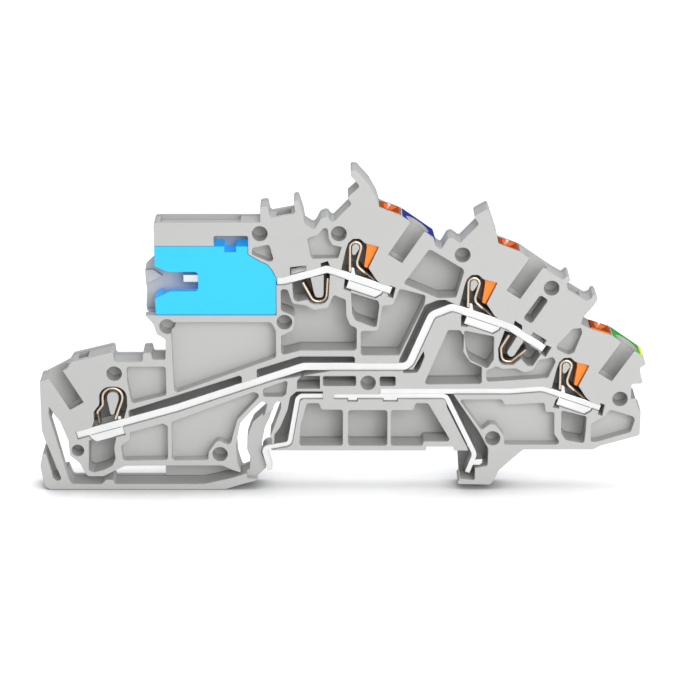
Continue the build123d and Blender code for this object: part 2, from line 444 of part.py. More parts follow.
def rounded_face(points):
    """Face in the side plane. A corner is an arc of its point's radius, or cut off if small."""
    count = len(points)
    rounded = []
    toward_before = []
    toward_after = []
    half_angles = []
    tangents = []
    for index, point in enumerate(points):
        before = points[index - 1]
        after = points[(index + 1) % count]
        back = (before[0] - point[0], before[1] - point[1])
        on = (after[0] - point[0], after[1] - point[1])
        back_length = math.hypot(*back)
        on_length = math.hypot(*on)
        back = (back[0] / back_length, back[1] / back_length)
        on = (on[0] / on_length, on[1] / on_length)
        cosine = max(-1.0, min(1.0, back[0] * on[0] + back[1] * on[1]))
        half = math.acos(cosine) / 2
        radius = point[2] if len(point) > 2 else 0.0
        flat = half > math.radians(86)
        share = 1.0 if radius >= SMALLEST_ARC else CUT_SHARE
        rounded.append(radius >= SMALLEST_ARC)
        toward_before.append(back)
        toward_after.append(on)
        half_angles.append(half)
        tangents.append(0.0 if radius < SHARP_BELOW or flat else share * radius / math.tan(half))
    for index in range(count):
        following = (index + 1) % count
        start = points[index]
        end = points[following]
        side = math.hypot(end[0] - start[0], end[1] - start[1])
        used = tangents[index] + tangents[following]
        if used > 0.98 * side:
            tangents[index] *= 0.98 * side / used
            tangents[following] *= 0.98 * side / used
    edges = []
    starts = []
    ends = []
    middles = []
    for index, point in enumerate(points):
        tangent = tangents[index]
        back = toward_before[index]
        on = toward_after[index]
        half = half_angles[index]
        starts.append((point[0] + back[0] * tangent, point[1] + back[1] * tangent))
        ends.append((point[0] + on[0] * tangent, point[1] + on[1] * tangent))
        if tangent < 0.01:
            middles.append(None)
            continue
        radius = tangent * math.tan(half)
        inward = (back[0] + on[0], back[1] + on[1])
        length = math.hypot(*inward)
        reach = radius / math.sin(half) - radius
        middles.append((point[0] + inward[0] / length * reach, point[1] + inward[1] / length * reach))
    for index in range(count):
        following = (index + 1) % count
        start = starts[index]
        end = ends[index]
        if middles[index] is None:
            end = (points[index][0], points[index][1])
        elif rounded[index]:
            middle = middles[index]
            edges.append(Edge.make_three_point_arc(
                (start[0], 0, start[1]), (middle[0], 0, middle[1]), (end[0], 0, end[1])))
        else:
            edges.append(Edge.make_line((start[0], 0, start[1]), (end[0], 0, end[1])))
        goal = starts[following]
        if middles[following] is None:
            goal = (points[following][0], points[following][1])
        edges.append(Edge.make_line((end[0], 0, end[1]), (goal[0], 0, goal[1])))
    return Face(Wire(edges))


def plate(points, front, back):
    """Plate with the given outline, from Y = front to Y = back."""
    return extrude(Pos(0, front, 0) * rounded_face(points), amount=back - front, dir=(0, 1, 0))


def band(path, thickness, overrun=0.0):
    """Outline of a strip bent along a path, with the bends' radii at its middle line."""
    points = [tuple(point[:2]) for point in path]
    radii = [point[2] if len(point) > 2 else 0.0 for point in path]
    directions = []
    for start, end in zip(points, points[1:]):
        length = math.hypot(end[0] - start[0], end[1] - start[1])
        directions.append(((end[0] - start[0]) / length, (end[1] - start[1]) / length))
    first = directions[0]
    last = directions[-1]
    points[0] = (points[0][0] - first[0] * overrun, points[0][1] - first[1] * overrun)
    points[-1] = (points[-1][0] + last[0] * overrun, points[-1][1] + last[1] * overrun)
    left = []
    right = []
    for index, point in enumerate(points):
        before = directions[max(index - 1, 0)]
        after = directions[min(index, len(directions) - 1)]
        normal = (-(before[1] + after[1]), before[0] + after[0])
        length = math.hypot(*normal)
        normal = (normal[0] / length, normal[1] / length)
        reach = thickness / 2 / (normal[0] * -after[1] + normal[1] * after[0])
        turn = before[0] * after[1] - before[1] * after[0]
        side = 1.0 if turn > 0 else -1.0
        radius = radii[index]
        left_radius = max(radius - side * thickness / 2, 0.0) if radius > 0 else 0.0
        right_radius = max(radius + side * thickness / 2, 0.0) if radius > 0 else 0.0
        left.append((point[0] + normal[0] * reach, point[1] + normal[1] * reach, left_radius))
        right.append((point[0] - normal[0] * reach, point[1] - normal[1] * reach, right_radius))
    return right + left[::-1]


def strip(path, thickness, front, back, overrun=0.0):
    """Bent strip along a path, from Y = front to Y = back."""
    return plate(band(path, thickness, overrun), front, back)


def rectangle(left, right, bottom, top):
    """Corner points of an upright rectangle."""
    return [(left, bottom), (right, bottom), (right, top), (left, top)]


def block(left, right, front, back, bottom, top):
    """Box between six faces."""
    return plate(rectangle(left, right, bottom, top), front, back)


def pin(point, radius, front, back):
    """Round pin or bore across the block."""
    middle = (front + back) / 2
    return Pos(point[0], middle, point[1]) * Rot(90, 0, 0) * Cylinder(radius, back - front)


def wire_way(mouth, tilt):
    """Space of one conductor entry: wide bore, taper and narrow guide on one tilted axis."""
    above = 2.5
    wide = Pos(0, 0, (above - ENTRY_LENGTH) / 2) * Cylinder(ENTRY_RADIUS, ENTRY_LENGTH + above)
    taper = Pos(0, 0, -ENTRY_LENGTH - TAPER_LENGTH / 2) * Cone(
        GUIDE_RADIUS, TAPER_RADIUS, TAPER_LENGTH)
    guide_start = ENTRY_LENGTH + TAPER_LENGTH
    guide = Pos(0, 0, -guide_start - GUIDE_LENGTH / 2) * Cylinder(GUIDE_RADIUS, GUIDE_LENGTH)
    return Pos(mouth[0], ENTRY_Y, mouth[1]) * Rot(0, tilt, 0) * (wide + taper + guide)


def mirrored(values, mirror):
    """A pair of offsets along the bar, swapped for the clamp that faces the other way."""
    return (-values[1], -values[0]) if mirror else values


def collar_points(thickness, mirror, extra=0.0):
    """Outline of a window's collar beneath its bar, in the bar's own frame."""
    side = -1.0 if mirror else 1.0
    top = -thickness / 2 + 0.3
    bottom = -thickness / 2 - COLLAR_DROP - extra
    return [(side * (COLLAR_START - extra), top), (side * (COLLAR_END + extra), top),
            (side * (COLLAR_END + extra), -thickness / 2 - 0.5),
            (side * (COLLAR_FOOT_END + extra), bottom), (side * (COLLAR_START - extra), bottom)]


def window(origin, tilt, mirror=False):
    """Tool for the conductor window through a bar and its collar."""
    start, end = mirrored((WINDOW_START, WINDOW_END), mirror)
    middle = (BAR_FRONT + BAR_BACK) / 2
    points = turned(rectangle(start, end, -3.0, 1.0), origin, tilt)
    return plate(points, middle - WINDOW_WIDTH / 2, middle + WINDOW_WIDTH / 2)


def clamp_bar(body, origin, tilt, thickness, mirror=False):
    """Bar with the collar, the window and the spring's stop of one clamp added."""
    collar = plate(turned(collar_points(thickness, mirror), origin, tilt), BAR_FRONT, BAR_BACK)
    points = turned(LEFT_STOP, origin, tilt) if mirror else shifted(STOP, origin)
    stop = plate(points, SPRING_FRONT, SPRING_BACK)
    return body + collar + stop - window(origin, tilt, mirror)


def slide_guides(extra):
    """The two ribs that guide the slide, or with some extra the grooves they run in."""
    width, height = GUIDE_RIB
    middle = (FRONT + SLIDE_BACK) / 2 + 0.5
    left = -36.0 if extra == 0 else -42.0
    front = middle - width / 2 - extra
    back = middle + width / 2 + extra
    lower = block(left, -17.5 + extra, front, back, SLIDE_BOTTOM - height - extra,
                  SLIDE_BOTTOM + 0.3)
    upper = block(left, -27.5 + extra, front, back, SLIDE_TOP - 0.3, SLIDE_TOP + height + extra)
    return lower, upper


def make_housing():
    """Moulding that holds every other piece, with the rail latch in one with it."""
    body = plate(HOUSING_OUTLINE, FRONT, BACK)
    spring_floor = SPRING_BACK + SPRING_CLEAR
    bar_floor = BAR_BACK + BAR_CLEAR
    open_front = FRONT - BEYOND
    tools = [
        plate(LEVER_GAP, open_front, BACK + BEYOND),
        plate(FINGER_GAP, open_front, BACK + BEYOND),
        plate(ARM_POCKET, open_front, WEB_FACE),
        plate(FINGER_STEP, open_front, FRONT + FINGER_STEP_DEPTH),
        plate(LEG_RECESS, open_front, bar_floor),
        plate(LEFT_CHAMBER, open_front, spring_floor),
        plate(SLIDE_RECESS, open_front, WEB_FACE),
        strip(LEVER_RELIEF, LEVER_RELIEF_WIDTH, LEVER_RELIEF_FRONT, BACK + BEYOND),
    ]
    left, right, margin, depth = STRIP_TROUGH
    tools.append(block(left, right, FRONT + margin, BACK - margin, STRIP_TOP - depth,
                       STRIP_TOP + BEYOND))
    tools += [plate(points, open_front, SHALLOW_FLOOR) for points in SHALLOW_POCKETS]
    tools += [plate(points, open_front, DEEP_FLOOR) for points in DEEP_POCKETS]
    tools += [plate(points, open_front, bar_floor) for points in BAR_SPACES]
    tools += [pin(point, SOCKET_RADIUS, open_front, FRONT + SOCKET_DEPTH) for point in SOCKETS]
    tools += [pin(point, SMALL_SOCKET_RADIUS, open_front, FRONT + SOCKET_DEPTH)
              for point in SMALL_SOCKETS]
    bars = [(N_BAR_PATH, N_BAR_THICK, 0.3), (L_BAR_PATH, L_BAR_THICK, BAR_CLEAR),
            (PE_BAR_PATH, PE_BAR_THICK, BAR_CLEAR), (FOOT_PATH, FOOT_THICK, BAR_CLEAR)]
    for path, thickness, overrun in bars:
        tools.append(strip(path, thickness + 2 * BAR_CLEAR, open_front, bar_floor, overrun))
    for middle, width in FOOT_LUGS:
        half = width / 2 + 0.1
        tools.append(block(middle - half, middle + half, open_front, bar_floor,
                           FOOT_LUG_BOTTOM - 0.1, FOOT_LEVEL))
    tools += list(slide_guides(0.12))
    for origin, thickness in [(N_CLAMP, N_BAR_THICK), (L_CLAMP, L_BAR_THICK),
                              (PE_CLAMP, PE_BAR_THICK)]:
        tools += clamp_spaces(origin, thickness)
    left_collar = collar_points(L_BAR_THICK, True, 0.1)
    tools.append(plate(turned(left_collar, LEFT_CLAMP, LEFT_CLAMP_TILT), open_front, bar_floor))
    tools.append(wire_way(LEFT_ENTRY_MOUTH, LEFT_ENTRY_TILT))
    tools.append(strip(LEFT_SLOT, LEFT_SLOT_LENGTH, -1.7, 1.1))
    tools += [jumper_space(N_JUMPER_SLOT), jumper_space(L_JUMPER_SLOT)]
    tools += [frame_seat(N_CLAMP), frame_seat(PE_CLAMP)]
    body = body.cut(*tools)
    bosses = [shifted(SPRING_BOSS, origin) for origin in (N_CLAMP, L_CLAMP, PE_CLAMP)]
    for points in [*bosses, LEFT_SPRING_BOSS, *JUMPER_BOSSES]:
        body += plate(points, BOSS_FRONT, WEB_FACE)
    body += plate(MOUTH_WEDGE, WEB_FACE - MOUTH_WEDGE_HEIGHT, WEB_FACE + 0.2)
    bridge, bridge_width = FOOT_BRIDGE
    body += block(bridge - bridge_width / 2, bridge + bridge_width / 2, FRONT,
                  BAR_FRONT - 0.05, 9.0, 11.4)
    for point in PEGS:
        radius = SOCKET_RADIUS - PEG_CLEAR
        peg = Cylinder(radius, PEG_LENGTH + 0.2)
        peg = chamfer(peg.edges().sort_by(Axis.Z)[-1], PEG_CHAMFER)
        body += Pos(point[0], BACK + (PEG_LENGTH - 0.2) / 2, point[1]) * Rot(-90, 0, 0) * peg
    return body


def clamp_spaces(origin, thickness):
    """Tools that open the housing for one clamp, its button and its conductor entry."""
    open_front = FRONT - BEYOND
    spring_floor = SPRING_BACK + SPRING_CLEAR
    collar = turned(collar_points(thickness, False, 0.1), origin, CLAMP_TILT)
    mouth = (origin[0] + ENTRY_MOUTH[0], origin[1] + ENTRY_MOUTH[1])
    top = (origin[0] + BUTTON_TOP[0], origin[1] + BUTTON_TOP[1])
    half_head = BUTTON_HEAD_WIDTH / 2 + BUTTON_CLEAR
    head_floor = -(BUTTON_HEAD_LENGTH + BUTTON_TRAVEL + 0.1)
    head = turned(rectangle(-half_head, half_head, head_floor, 3.0), top, BUTTON_TILT)
    shaft = turned(rectangle(BUTTON_SHAFT_LEFT - BUTTON_CLEAR, BUTTON_SHAFT_RIGHT + BUTTON_CLEAR,
                             -8.0, head_floor + 0.5), top, BUTTON_TILT)
    head_back = BUTTON_HEAD_FRONT + BUTTON_HEAD_DEPTH
    return [
        plate(shifted(CHAMBER, origin), open_front, spring_floor),
        strip(shifted(SPRING_PATH, origin), SPRING_THICK + 2 * SPRING_CLEAR, open_front,
              spring_floor, 0.1),
        plate(collar, open_front, BAR_BACK + BAR_CLEAR),
        plate(head, BUTTON_HEAD_FRONT - BUTTON_CLEAR, head_back + BUTTON_CLEAR),
        plate(shaft, SPRING_FRONT - BUTTON_CLEAR, SPRING_BACK + BUTTON_CLEAR),
        wire_way(mouth, ENTRY_TILT),
    ]


def jumper_space(path):
    """Shaft for one prong of a jumper, through the housing and the bar under it."""
    middle = (BAR_FRONT + BAR_BACK) / 2
    return strip(path, JUMPER_LENGTH, middle - JUMPER_WIDTH / 2, middle + JUMPER_WIDTH / 2)


def frame_seat(origin):
    """Space for a coloured entry frame."""
    return strip(shifted(FRAME_PATH, origin), FRAME_THICK + 2 * FRAME_FIT,
                 FRONT + FRAME_FRONT_GAP - FRAME_FIT, BACK - FRAME_BACK_GAP + FRAME_FIT, FRAME_FIT)


def make_slide():
    """Blue slide of the neutral disconnect, open at the back and hollow behind its mouth."""
    front = FRONT + SLIDE_CLEAR
    body = plate(SLIDE_OUTLINE, front, SLIDE_BACK)
    body -= plate(SLIDE_CAVITY, front + SLIDE_FRONT_WALL, SLIDE_BACK + BEYOND)
    body -= block(-18.6, -15.5, -1.1, SLIDE_BACK + BEYOND, 30.4, 32.2)
    middle, width, depth = DRIVER_GROOVE
    body -= block(middle - width / 2, middle + width / 2, front - BEYOND, SLIDE_BACK + BEYOND,
                  SLIDE_TOP - depth, SLIDE_TOP + BEYOND)
    half_grip = N_BAR_THICK / 2 + CONTACT_CLEAR + CONTACT_THICK + 0.05
    for left in (-28.2, -22.4):
        body += block(left, left + 1.0, front + SLIDE_FRONT_WALL - 0.1, SLIDE_BACK - 0.1, 26.3,
                      BLADE_LEVEL - half_grip)
        body += block(left, left + 1.0, front + SLIDE_FRONT_WALL - 0.1, SLIDE_BACK - 0.1,
                      BLADE_LEVEL + half_grip, 36.0)
    lower, upper = slide_guides(0.0)
    return body + lower + upper


def make_slide_contact():
    """Clip that the slide carries along the blade of the neutral bar."""
    inner = N_BAR_THICK / 2 + CONTACT_CLEAR
    outer = inner + CONTACT_THICK
    left = CONTACT_RIGHT - CONTACT_LENGTH
    body = block(left, CONTACT_RIGHT, -0.9, SLIDE_BACK - 0.1, BLADE_LEVEL - outer,
                 BLADE_LEVEL + outer)
    return body - block(left - BEYOND, CONTACT_RIGHT + BEYOND, -2.0, 1.0, BLADE_LEVEL - inner,
                        BLADE_LEVEL + inner)


def make_n_bar():
    """Upper bar: a narrow blade in the slide and a wide part under the neutral clamp."""
    half = N_BAR_THICK / 2
    blade = block(BLADE_PATH[0][0], BLADE_PATH[1][0], -BLADE_WIDTH / 2, BLADE_WIDTH / 2,
                  BLADE_PATH[0][1] - half, BLADE_PATH[0][1] + half)
    body = strip(N_BAR_PATH, N_BAR_THICK, BAR_FRONT, BAR_BACK) + blade
    body -= jumper_space(N_JUMPER_SLOT)
    return clamp_bar(body, N_CLAMP, CLAMP_TILT, N_BAR_THICK)


def make_l_bar():
    """Long bar from the left clamp to the live clamp."""
    body = strip(L_BAR_PATH, L_BAR_THICK, BAR_FRONT, BAR_BACK)
    body -= jumper_space(L_JUMPER_SLOT)
    body = clamp_bar(body, L_CLAMP, CLAMP_TILT, L_BAR_THICK)
    return clamp_bar(body, LEFT_CLAMP, LEFT_CLAMP_TILT, L_BAR_THICK, mirror=True)


def make_pe_bar():
    """Bar of the earth level, lying on the foot."""
    body = strip(PE_BAR_PATH, PE_BAR_THICK, BAR_FRONT, BAR_BACK)
    return clamp_bar(body, PE_CLAMP, CLAMP_TILT, PE_BAR_THICK)


def make_pe_foot():
    """Bent strip whose two legs grip the flanges of the rail."""
    body = strip(FOOT_PATH, FOOT_THICK, BAR_FRONT, BAR_BACK)
    body += plate(FOOT_BARB, BAR_FRONT, BAR_BACK)
    for middle, width in FOOT_LUGS:
        body += block(middle - width / 2, middle + width / 2, BAR_FRONT, BAR_BACK,
                      FOOT_LUG_BOTTOM, FOOT_LEVEL)
    return body


def make_spring(path, origin=(0.0, 0.0)):
    """Bent spring strip."""
    return strip(shifted(path, origin), SPRING_THICK, SPRING_FRONT, SPRING_BACK)


def clamp_spring(path, origin, clamp, tilt, thickness):
    """Spring whose clamping leg narrows where it enters the window of its bar."""
    body = make_spring(path, origin)
    middle = (BAR_FRONT + BAR_BACK) / 2
    half_tongue = WINDOW_WIDTH / 2 - WINDOW_PLAY
    start, end = mirrored((-1.75, 4.0), tilt < 0)
    points = turned(rectangle(start, end, -2.0, thickness / 2 + 0.45), clamp, tilt)
    body -= plate(points, SPRING_FRONT - BEYOND, middle - half_tongue)
    return body - plate(points, middle + half_tongue, SPRING_BACK + BEYOND)


def make_button(origin):
    """Push button: a head with a screwdriver dimple, and a shaft that bends the spring."""
    half = BUTTON_HEAD_WIDTH / 2
    head_foot = -BUTTON_HEAD_LENGTH
    head = [(-half, head_foot, 0.2), (half, head_foot, 0.2), (half, BUTTON_TOP_SLANT, 0.3),
            (-half, -BUTTON_TOP_SLANT, 0.3)]
    shaft = [(BUTTON_SHAFT_LEFT, -6.6, 0.3), (-0.6, -7.6, 0.8), (0.55, BUTTON_TIP, 0.2),
             (BUTTON_SHAFT_RIGHT, BUTTON_TIP, 0.2), (BUTTON_SHAFT_RIGHT, head_foot + 0.5),
             (BUTTON_SHAFT_LEFT, head_foot + 0.5)]
    top = (origin[0] + BUTTON_TOP[0], origin[1] + BUTTON_TOP[1])
    body = plate(turned(head, top, BUTTON_TILT), BUTTON_HEAD_FRONT,
                 BUTTON_HEAD_FRONT + BUTTON_HEAD_DEPTH)
    body += plate(turned(shaft, top, BUTTON_TILT), SPRING_FRONT, SPRING_BACK)
    middle = BUTTON_HEAD_FRONT + BUTTON_HEAD_DEPTH / 2
    wide = Pos(0, 0, 0.4) * Rectangle(*DIMPLE_TOP)
    narrow = Pos(0, 0, -DIMPLE_DEPTH) * Rectangle(*DIMPLE_FLOOR)
    dimple = Pos(top[0], middle, top[1]) * Rot(0, BUTTON_TILT, 0) * loft([wide.face(), narrow.face()])
    return body - dimple


def make_entry_frame(origin):
    """Coloured frame in the mouth of an entry, open where the bore breaks the front."""
    mouth = (origin[0] + ENTRY_MOUTH[0], origin[1] + ENTRY_MOUTH[1])
    body = strip(shifted(FRAME_PATH, origin), FRAME_THICK, FRONT + FRAME_FRONT_GAP,
                 BACK - FRAME_BACK_GAP)
    return body - wire_way(mouth, ENTRY_TILT)


PARTS = {
    "housing": make_housing(),
    "n_slide": make_slide(),
    "n_slide_contact": make_slide_contact(),
    "n_bar": make_n_bar(),
    "l_bar": make_l_bar(),
    "pe_bar": make_pe_bar(),
    "pe_foot": make_pe_foot(),
    "left_clamp_spring": clamp_spring(LEFT_SPRING_PATH, (0.0, 0.0), LEFT_CLAMP, LEFT_CLAMP_TILT,
                                      L_BAR_THICK),
    "n_clamp_spring": clamp_spring(SPRING_PATH, N_CLAMP, N_CLAMP, CLAMP_TILT, N_BAR_THICK),
    "l_clamp_spring": clamp_spring(SPRING_PATH, L_CLAMP, L_CLAMP, CLAMP_TILT, L_BAR_THICK),
    "pe_clamp_spring": clamp_spring(SPRING_PATH, PE_CLAMP, PE_CLAMP, CLAMP_TILT, PE_BAR_THICK),
    "n_jumper_spring": make_spring(N_JUMPER_SPRING_PATH),
    "l_jumper_spring": make_spring(L_JUMPER_SPRING_PATH),
    "n_push_button": make_button(N_CLAMP),
    "l_push_button": make_button(L_CLAMP),
    "pe_push_button": make_button(PE_CLAMP),
    "n_entry_frame": make_entry_frame(N_CLAMP),
    "pe_entry_frame": make_entry_frame(PE_CLAMP),
}

os.makedirs("parts", exist_ok=True)
for name, shape in PARTS.items():
    print(name, len(shape.solids()), "solid", round(shape.volume, 1), "mm3")
    export_step(shape, f"parts/{name}.step")
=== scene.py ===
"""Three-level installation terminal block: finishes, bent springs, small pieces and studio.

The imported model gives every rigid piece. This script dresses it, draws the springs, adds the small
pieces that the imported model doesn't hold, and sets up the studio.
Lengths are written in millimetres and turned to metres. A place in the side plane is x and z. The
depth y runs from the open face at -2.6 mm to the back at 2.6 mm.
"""
from __future__ import annotations

import logging
import math
from dataclasses import dataclass, field
from enum import Enum
from typing import Any, Protocol, Sequence

import bmesh
import bpy
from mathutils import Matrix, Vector

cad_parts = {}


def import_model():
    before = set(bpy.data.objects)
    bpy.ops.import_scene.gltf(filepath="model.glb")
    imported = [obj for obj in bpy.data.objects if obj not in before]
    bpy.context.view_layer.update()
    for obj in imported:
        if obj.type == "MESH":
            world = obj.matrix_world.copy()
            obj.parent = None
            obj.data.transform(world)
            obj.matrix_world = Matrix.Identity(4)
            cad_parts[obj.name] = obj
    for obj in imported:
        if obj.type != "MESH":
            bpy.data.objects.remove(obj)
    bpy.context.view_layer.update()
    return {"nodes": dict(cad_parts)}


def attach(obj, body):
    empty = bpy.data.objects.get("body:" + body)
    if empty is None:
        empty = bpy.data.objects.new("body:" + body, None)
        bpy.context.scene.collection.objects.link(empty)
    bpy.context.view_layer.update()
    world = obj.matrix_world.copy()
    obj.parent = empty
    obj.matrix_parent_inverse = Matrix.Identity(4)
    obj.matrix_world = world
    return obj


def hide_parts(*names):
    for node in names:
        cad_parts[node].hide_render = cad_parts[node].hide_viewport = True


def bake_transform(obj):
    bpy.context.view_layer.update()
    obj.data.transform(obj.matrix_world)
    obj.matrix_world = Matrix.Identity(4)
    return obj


LOG = logging.getLogger("terminal_block")
MM = 0.001
Triple = tuple[float, float, float]
Colour = Triple
Place = tuple[float, float]
Corner = tuple[float, ...]

# Sockets of a Mix node for colours, and rays that round an edge
MIX_SHARE, MIX_FIRST, MIX_SECOND, MIX_RESULT = 0, 6, 7, 2
EDGE_SAMPLES = 4


class Wave(Enum):
    """Kinds of noise that a finish can ask for."""

    CLOUD = "FBM"
    RIDGE = "RIDGED_MULTIFRACTAL"


@dataclass(frozen=True)
class Noise:
    """Noise that breaks up a finish.

    Attributes:
        scale: Waves in a metre.
        detail: Octaves.
        wave: Kind of noise.
        stretch: Scale along each axis.
    """

    scale: float
    detail: float
    wave: Wave = Wave.CLOUD
    stretch: Triple = (1.0, 1.0, 1.0)


class Signal:
    """A number flowing out of a socket, with Python's operators."""

    def __init__(self, bench: "Bench", socket: bpy.types.NodeSocket) -> None:
        """Wrap a socket.

        Args:
            bench: The bench whose tree the socket belongs to.
            socket: An output socket that carries a number.
        """
        self.bench = bench
        self.socket = socket

    def _math(self, operation: str, *values: Any) -> "Signal":
        """Add one Math node.

        Args:
            operation: The node's operation.
            values: Numbers or signals for its inputs, in order.

        Returns:
            The node's result.
        """
        node = self.bench.add("ShaderNodeMath", {"operation": operation}, dict(enumerate(values)))
        return Signal(self.bench, node.outputs[0])

    def __add__(self, other: Any) -> "Signal":
        """Sum."""
        return self._math("ADD", self, other)

    def __radd__(self, other: Any) -> "Signal":
        """Sum, number first."""
        return self._math("ADD", other, self)

    def __sub__(self, other: Any) -> "Signal":
        """Difference."""
        return self._math("SUBTRACT", self, other)

    def __rsub__(self, other: Any) -> "Signal":
        """Difference, number first."""
        return self._math("SUBTRACT", other, self)

    def __mul__(self, other: Any) -> "Signal":
        """Product."""
        return self._math("MULTIPLY", self, other)

    def __rmul__(self, other: Any) -> "Signal":
        """Product, number first."""
        return self._math("MULTIPLY", other, self)

    def ramp(self, low: float, high: float) -> "Signal":
        """Go smoothly from 0 at low to 1 at high.

        Args:
            low: Value that gives 0.
            high: Value that gives 1.

        Returns:
            The eased result, held between 0 and 1.
        """
        node = self.bench.add("ShaderNodeMapRange", {"interpolation_type": "SMOOTHSTEP"},
                              {"Value": self, "From Min": low, "From Max": high})
        return Signal(self.bench, node.outputs["Result"])

    def clamp(self) -> "Signal":
        """Hold between 0 and 1."""
        return self._math("MINIMUM", self._math("MAXIMUM", self, 0.0), 1.0)


class Bench:
    """Lays out the nodes of one tree."""

    def __init__(self, tree: bpy.types.NodeTree) -> None:
        """Take a tree.

        Args:
            tree: The tree that gets the nodes.
        """
        self.tree = tree

    def add(self, kind: str, settings: dict[str, Any] | None = None,
            inputs: dict[Any, Any] | None = None) -> Any:
        """Add a node.

        Args:
            kind: The node's type.
            settings: Properties that are set first.
            inputs: Values, signals or sockets, by input name or number.

        Returns:
            The new node.
        """
        node = self.tree.nodes.new(kind)
        for name, value in (settings or {}).items():
            setattr(node, name, value)
        self.plug(node, inputs or {})
        return node

    def plug(self, node: Any, inputs: dict[Any, Any]) -> None:
        """Fill a node's input sockets.

        Args:
            node: The node.
            inputs: Values, signals or sockets, by input name or number.
        """
        for key, value in inputs.items():
            if isinstance(value, Signal):
                value = value.socket
            if isinstance(value, bpy.types.NodeSocket):
                self.tree.links.new(value, node.inputs[key])
            else:
                node.inputs[key].default_value = value


class FinishBench(Bench):
    """Lays out one material."""

    def __init__(self, name: str) -> None:
        """Start an empty material.

        Args:
            name: The material's name.
        """
        self.material = bpy.data.materials.new(name)
        self.material.use_nodes = True
        super().__init__(self.material.node_tree)
        self.tree.nodes.clear()

    def place(self) -> bpy.types.NodeSocket:
        """Give the object's own coordinates, in metres."""
        return self.add("ShaderNodeTexCoord").outputs["Object"]

    def axes(self) -> tuple[Signal, Signal, Signal]:
        """Give the object's x, y and z in millimetres."""
        node = self.add("ShaderNodeSeparateXYZ", None, {0: self.place()})
        x, y, z = (Signal(self, socket) * (1 / MM) for socket in node.outputs)
        return x, y, z

    def noise(self, kind: Noise) -> Signal:
        """Add noise on the object's coordinates.

        Args:
            kind: The noise.

        Returns:
            Values round one half.
        """
        mapped = self.add("ShaderNodeMapping", None,
                          {"Vector": self.place(), "Scale": kind.stretch})
        node = self.add("ShaderNodeTexNoise", {"noise_type": kind.wave.value},
                        {"Vector": mapped.outputs[0], "Scale": kind.scale, "Detail": kind.detail})
        return Signal(self, node.outputs[0])

    def blend(self, share: Signal, first: Any, second: Any) -> bpy.types.NodeSocket:
        """Mix two colours.

        Args:
            share: Share of the second colour.
            first: Colour or socket.
            second: Colour or socket.

        Returns:
            The mixed colour's socket.
        """
        first, second = ((*value, 1.0) if isinstance(value, tuple) else value
                         for value in (first, second))
        node = self.add("ShaderNodeMix", {"data_type": "RGBA"},
                        {MIX_SHARE: share, MIX_FIRST: first, MIX_SECOND: second})
        return node.outputs[MIX_RESULT]

    def soft_edges(self, radius: float) -> bpy.types.NodeSocket:
        """Give a normal that rounds every edge over a radius in millimetres."""
        return self.add("ShaderNodeBevel", {"samples": EDGE_SAMPLES},
                        {"Radius": radius * MM}).outputs[0]

    def bump(self, height: Signal, strength: float, rise: float,
             base: bpy.types.NodeSocket | None = None) -> bpy.types.NodeSocket:
        """Turn heights into a normal.

        Args:
            height: Height between 0 and 1.
            strength: Strength of the bump.
            rise: Height of one unit, in millimetres.
            base: Normal that is bumped; the surface's own if left out.

        Returns:
            The normal's socket.
        """
        inputs = {"Height": height, "Strength": strength, "Distance": rise * MM}
        if base is not None:
            inputs["Normal"] = base
        return self.add("ShaderNodeBump", None, inputs).outputs[0]

    def layer(self, share: Signal, first: Any, second: Any) -> Any:
        """Mix two shaders.

        Args:
            share: Share of the second shader.
            first: Shader node.
            second: Shader node.

        Returns:
            The mixing node.
        """
        return self.add("ShaderNodeMixShader", None,
                        {0: share, 1: first.outputs[0], 2: second.outputs[0]})

    def finish(self, shader: Any) -> bpy.types.Material:
        """Join a shader to the output.

        Args:
            shader: The last shader node.

        Returns:
            The finished material.
        """
        self.add("ShaderNodeOutputMaterial", None, {"Surface": shader.outputs[0]})
        return self.material

    def surface(self, values: dict[str, Any]) -> bpy.types.Material:
        """Finish the material with the general surface shader, given its inputs by name."""
        return self.finish(self.add("ShaderNodeBsdfPrincipled", None, values))


@dataclass(frozen=True)
class Upright:
    """A leaning axis in the side plane, on which a small piece is laid out.

    Attributes:
        foot: Where it stands, x and z in mm.
        lean: Its lean to the right, in degrees.
    """

    foot: Place
    lean: float

    def turn(self) -> Place:
        """Give the sine and the cosine of the lean."""
        return math.sin(math.radians(self.lean)), math.cos(math.radians(self.lean))

    def point(self, across: float, depth: float, along: float) -> Vector:
        """Give a point beside the axis.

        Args:
            across: Distance to the right, square to the axis, in mm.
            depth: Depth y, in mm.
            along: Distance up the axis, in mm.

        Returns:
            The point, in mm.
        """
        sine, cosine = self.turn()
        x, z = self.foot
        return Vector((x + across * cosine + along * sine, depth,
                       z - across * sine + along * cosine))

    def measure(self, x: Signal, z: Signal) -> tuple[Signal, Signal]:
        """Tell where a point lies beside the axis.

        Args:
            x: The point's x, in mm.
            z: The point's z, in mm.

        Returns:
            The distance across the axis and the distance up it, in mm.
        """
        sine, cosine = self.turn()
        right, up = x - self.foot[0], z - self.foot[1]
        return right * cosine - up * sine, right * sine + up * cosine


